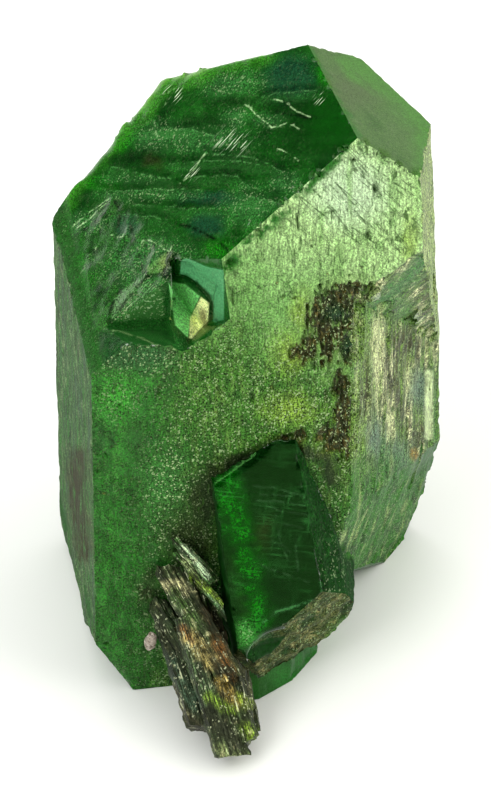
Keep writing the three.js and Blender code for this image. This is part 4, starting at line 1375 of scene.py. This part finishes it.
def shape_blades(skin, noise):
    p = skin.places
    normal, grain = skin.normals[skin.patch], skin.grain[skin.patch]
    across = np.cross(normal, grain)
    middle = p[skin.triangles].mean(1)
    lay = np.stack([np.einsum("ij,ij->i", middle, way) for way in (across, normal, grain)], axis=1)
    ribs = skin.at_places(1 - 2 * abs(noise.layered(lay, (0.2, 0.6, 3.5), 2)))
    move = 0.1 * ribs + 0.16 * noise.scoops(p, (0.8, 1.0, 1.0)) + 0.06 * noise.layered(p, 0.35, 2)
    move -= (1 - smooth(0, 0.12, skin.crease_distance)) * 0.06 * noise.share(p, 0.5, 0, 0.4)
    skin.places = p + skin.vertex_normals() * move[:, None]
    skin.places[:, 2] = np.maximum(skin.places[:, 2], 0.05)


def paint_blades(skin, noise):
    paint = Paint(skin, (52, 66, 36), rough=0.45, bump=0.8, glitter=0.8)
    points, picture = paint.points, paint.picture
    small = noise.layered(points, 0.4, 3)
    cloud = noise.layered(points + 20, 1.3, 3)
    paint.coat(smooth(0.0, 0.4, cloud), (36, 50, 32))
    seen = (skin.normals[skin.wedge_patch] @ TO_CAMERA > -0.1).astype(float)
    ragged = picture + 4 * np.stack([noise.layered(points + shift, 0.6, 3) for shift in (3, 40)], axis=1)
    # Some of these routes are painted highlights and painted shade, as said above BLADE_COLORS.
    for route, width, color in BLADE_COLORS:
        paint.coat(0.9 * seen * streak(ragged, route, width, 0.6), color)
    paint.coat(0.8 * smooth(0.1, 0.35, small), (22, 24, 12), glitter=0.3)
    paint.coat(0.5 * smooth(-0.25, -0.5, small), (196, 192, 140), rough=0.15)
    return paint


def look_blades():
    look = Look("amphibole")
    rough, bump, glitter = look.split("finish")
    lay = look.node("Attribute", {"attribute_name": "lay"}).outputs["Vector"]
    fibres = look.noise(look.stretched(lay, (12.0, 1.0, 1.0)), 2, 0.6)
    strands = look.noise(look.stretched(lay, (4.2, 0.5, 1.0)), 3, 0.6)
    grit = look.noise(look.upright(11, 11), 2, 0.6)
    patches = look.map(look.noise(look.upright(1.4, 1.4), 4, 0.65), 0.46, 0.58)
    sparse = look.map(patches, 0.0, 1.0, 1.0, 0.9)
    specks = look.product(look.math("GREATER_THAN", look.cells(look.upright(13, 11)), sparse), glitter)
    color = look.scaled(look.stored("tint"), look.map(fibres, 0.4, 0.62, 0.2, 1.5))
    color = look.scaled(color, look.map(strands, 0.38, 0.56, 0.12, 1.25))
    color = look.uneven(color, grit, 0.7)
    bright = look.product(look.map(strands, 0.58, 0.64), look.map(fibres, 0.46, 0.54), patches)
    color = look.mix(look.math("MAXIMUM", look.product(specks, 0.7), bright), color, (0.70, 0.76, 0.46, 1))
    height = look.math("ADD", look.math("ADD", fibres, strands), look.product(specks, 0.3))
    look.set(
        Base_Color=color,
        Roughness=rough,
        IOR=1.64,
        Specular_Tint=(0.3, 0.36, 0.2, 1),
        Normal=look.bump(height, 0.1),
    )
    return look


def blade_cluster():
    skin = Skin("blade_cluster", pitch=0.1, hidden_pitch=0.15, seed=3)
    skin.find_creases(np.full(len(skin.normals), "broken"), angle=24)
    noise = Noise(23)
    shape_blades(skin, noise)
    paint = paint_blades(skin, noise)
    grain = skin.grain[skin.wedge_patch]
    across = np.cross(skin.normals[skin.wedge_patch], grain)
    lay = np.stack([(paint.points * across).sum(1), (paint.points * grain).sum(1), 0 * grain[:, 0]], axis=1)
    groups = {"finish": ("rough", "bump", "glitter")}
    piece = add_piece(skin, look_blades(), paint, groups, "blade_cluster")
    attribute = piece.data.attributes.new("lay", "FLOAT_VECTOR", "CORNER")
    attribute.data.foreach_set("vector", lay[skin.wedge_of_corner].astype(np.float32).ravel())


def pale_grain():
    skin = Skin("pale_grain", pitch=0.06, hidden_pitch=0.08, seed=4)
    skin.find_creases(np.full(len(skin.normals), "grain"), angle=60)
    noise = Noise(31)
    p = skin.places
    paint = Paint(skin, (150, 138, 124), rough=0.5)
    paint.coat(noise.share(paint.points, 0.3, 0.0, 0.3), (88, 74, 54))
    paint.coat(noise.share(paint.points + 9, 0.25, 0.05, 0.3), (196, 184, 170))
    move = 0.1 * noise.scoops(p, 0.45) + 0.05 * noise.layered(p, 0.2, 2)
    skin.places = p + skin.vertex_normals() * move[:, None]
    look = Look("pale_mineral")
    grit = look.noise(look.upright(8, 8), 4, 0.7)
    color = look.uneven(look.stored("tint"), grit, 0.5)
    look.set(Base_Color=color, Roughness=look.split("finish")[0], IOR=1.54, Normal=look.bump(grit, 0.05))
    add_piece(skin, look, paint, {"finish": ("rough",)}, "pale_grain")


# The floor lies a hair below the base, so that the two don't fight.
FLOOR_REACH = 1.5
FLOOR_DROP = 0.00004


def add_floor():
    mesh = bpy.data.meshes.new("floor")
    ends = [(-1, -1), (1, -1), (1, 1), (-1, 1)]
    mesh.from_pydata([(x * FLOOR_REACH, y * FLOOR_REACH, -FLOOR_DROP) for x, y in ends], [], [(0, 1, 2, 3)])
    look = Look("paper")
    look.set(Base_Color=(0.9, 0.905, 0.87, 1), Roughness=0.9)
    mesh.materials.append(look.material)
    link(bpy.data.objects.new("floor", mesh))


def add_light(name, place, size, power, color=(1, 1, 1)):
    data = bpy.data.lights.new(name, "AREA")
    data.shape = "DISK"
    data.size = size
    data.energy = power
    data.color = color
    lamp = link(bpy.data.objects.new(name, data))
    lamp.location = place
    lamp.rotation_euler = Vector(place).to_track_quat("Z", "Y").to_euler()


def add_lights():
    add_light("overhead", (-0.02, 0.08, 0.70), size=2.3, power=18.5)
    add_light("key", (-0.34, -0.30, 0.40), size=0.30, power=1.4)
    add_light("fill", (0.42, -0.20, 0.30), size=0.50, power=1.4, color=(1.0, 0.98, 0.92))
    world = bpy.data.worlds.new("studio")
    world.use_nodes = True
    world.node_tree.nodes["Background"].inputs["Color"].default_value = (0.05, 0.06, 0.05, 1)
    bpy.context.scene.world = world
    bpy.context.scene.view_settings.view_transform = "Standard"


add_camera()
main_crystal()
side_crystal()
blade_cluster()
pale_grain()
add_floor()
add_lights()
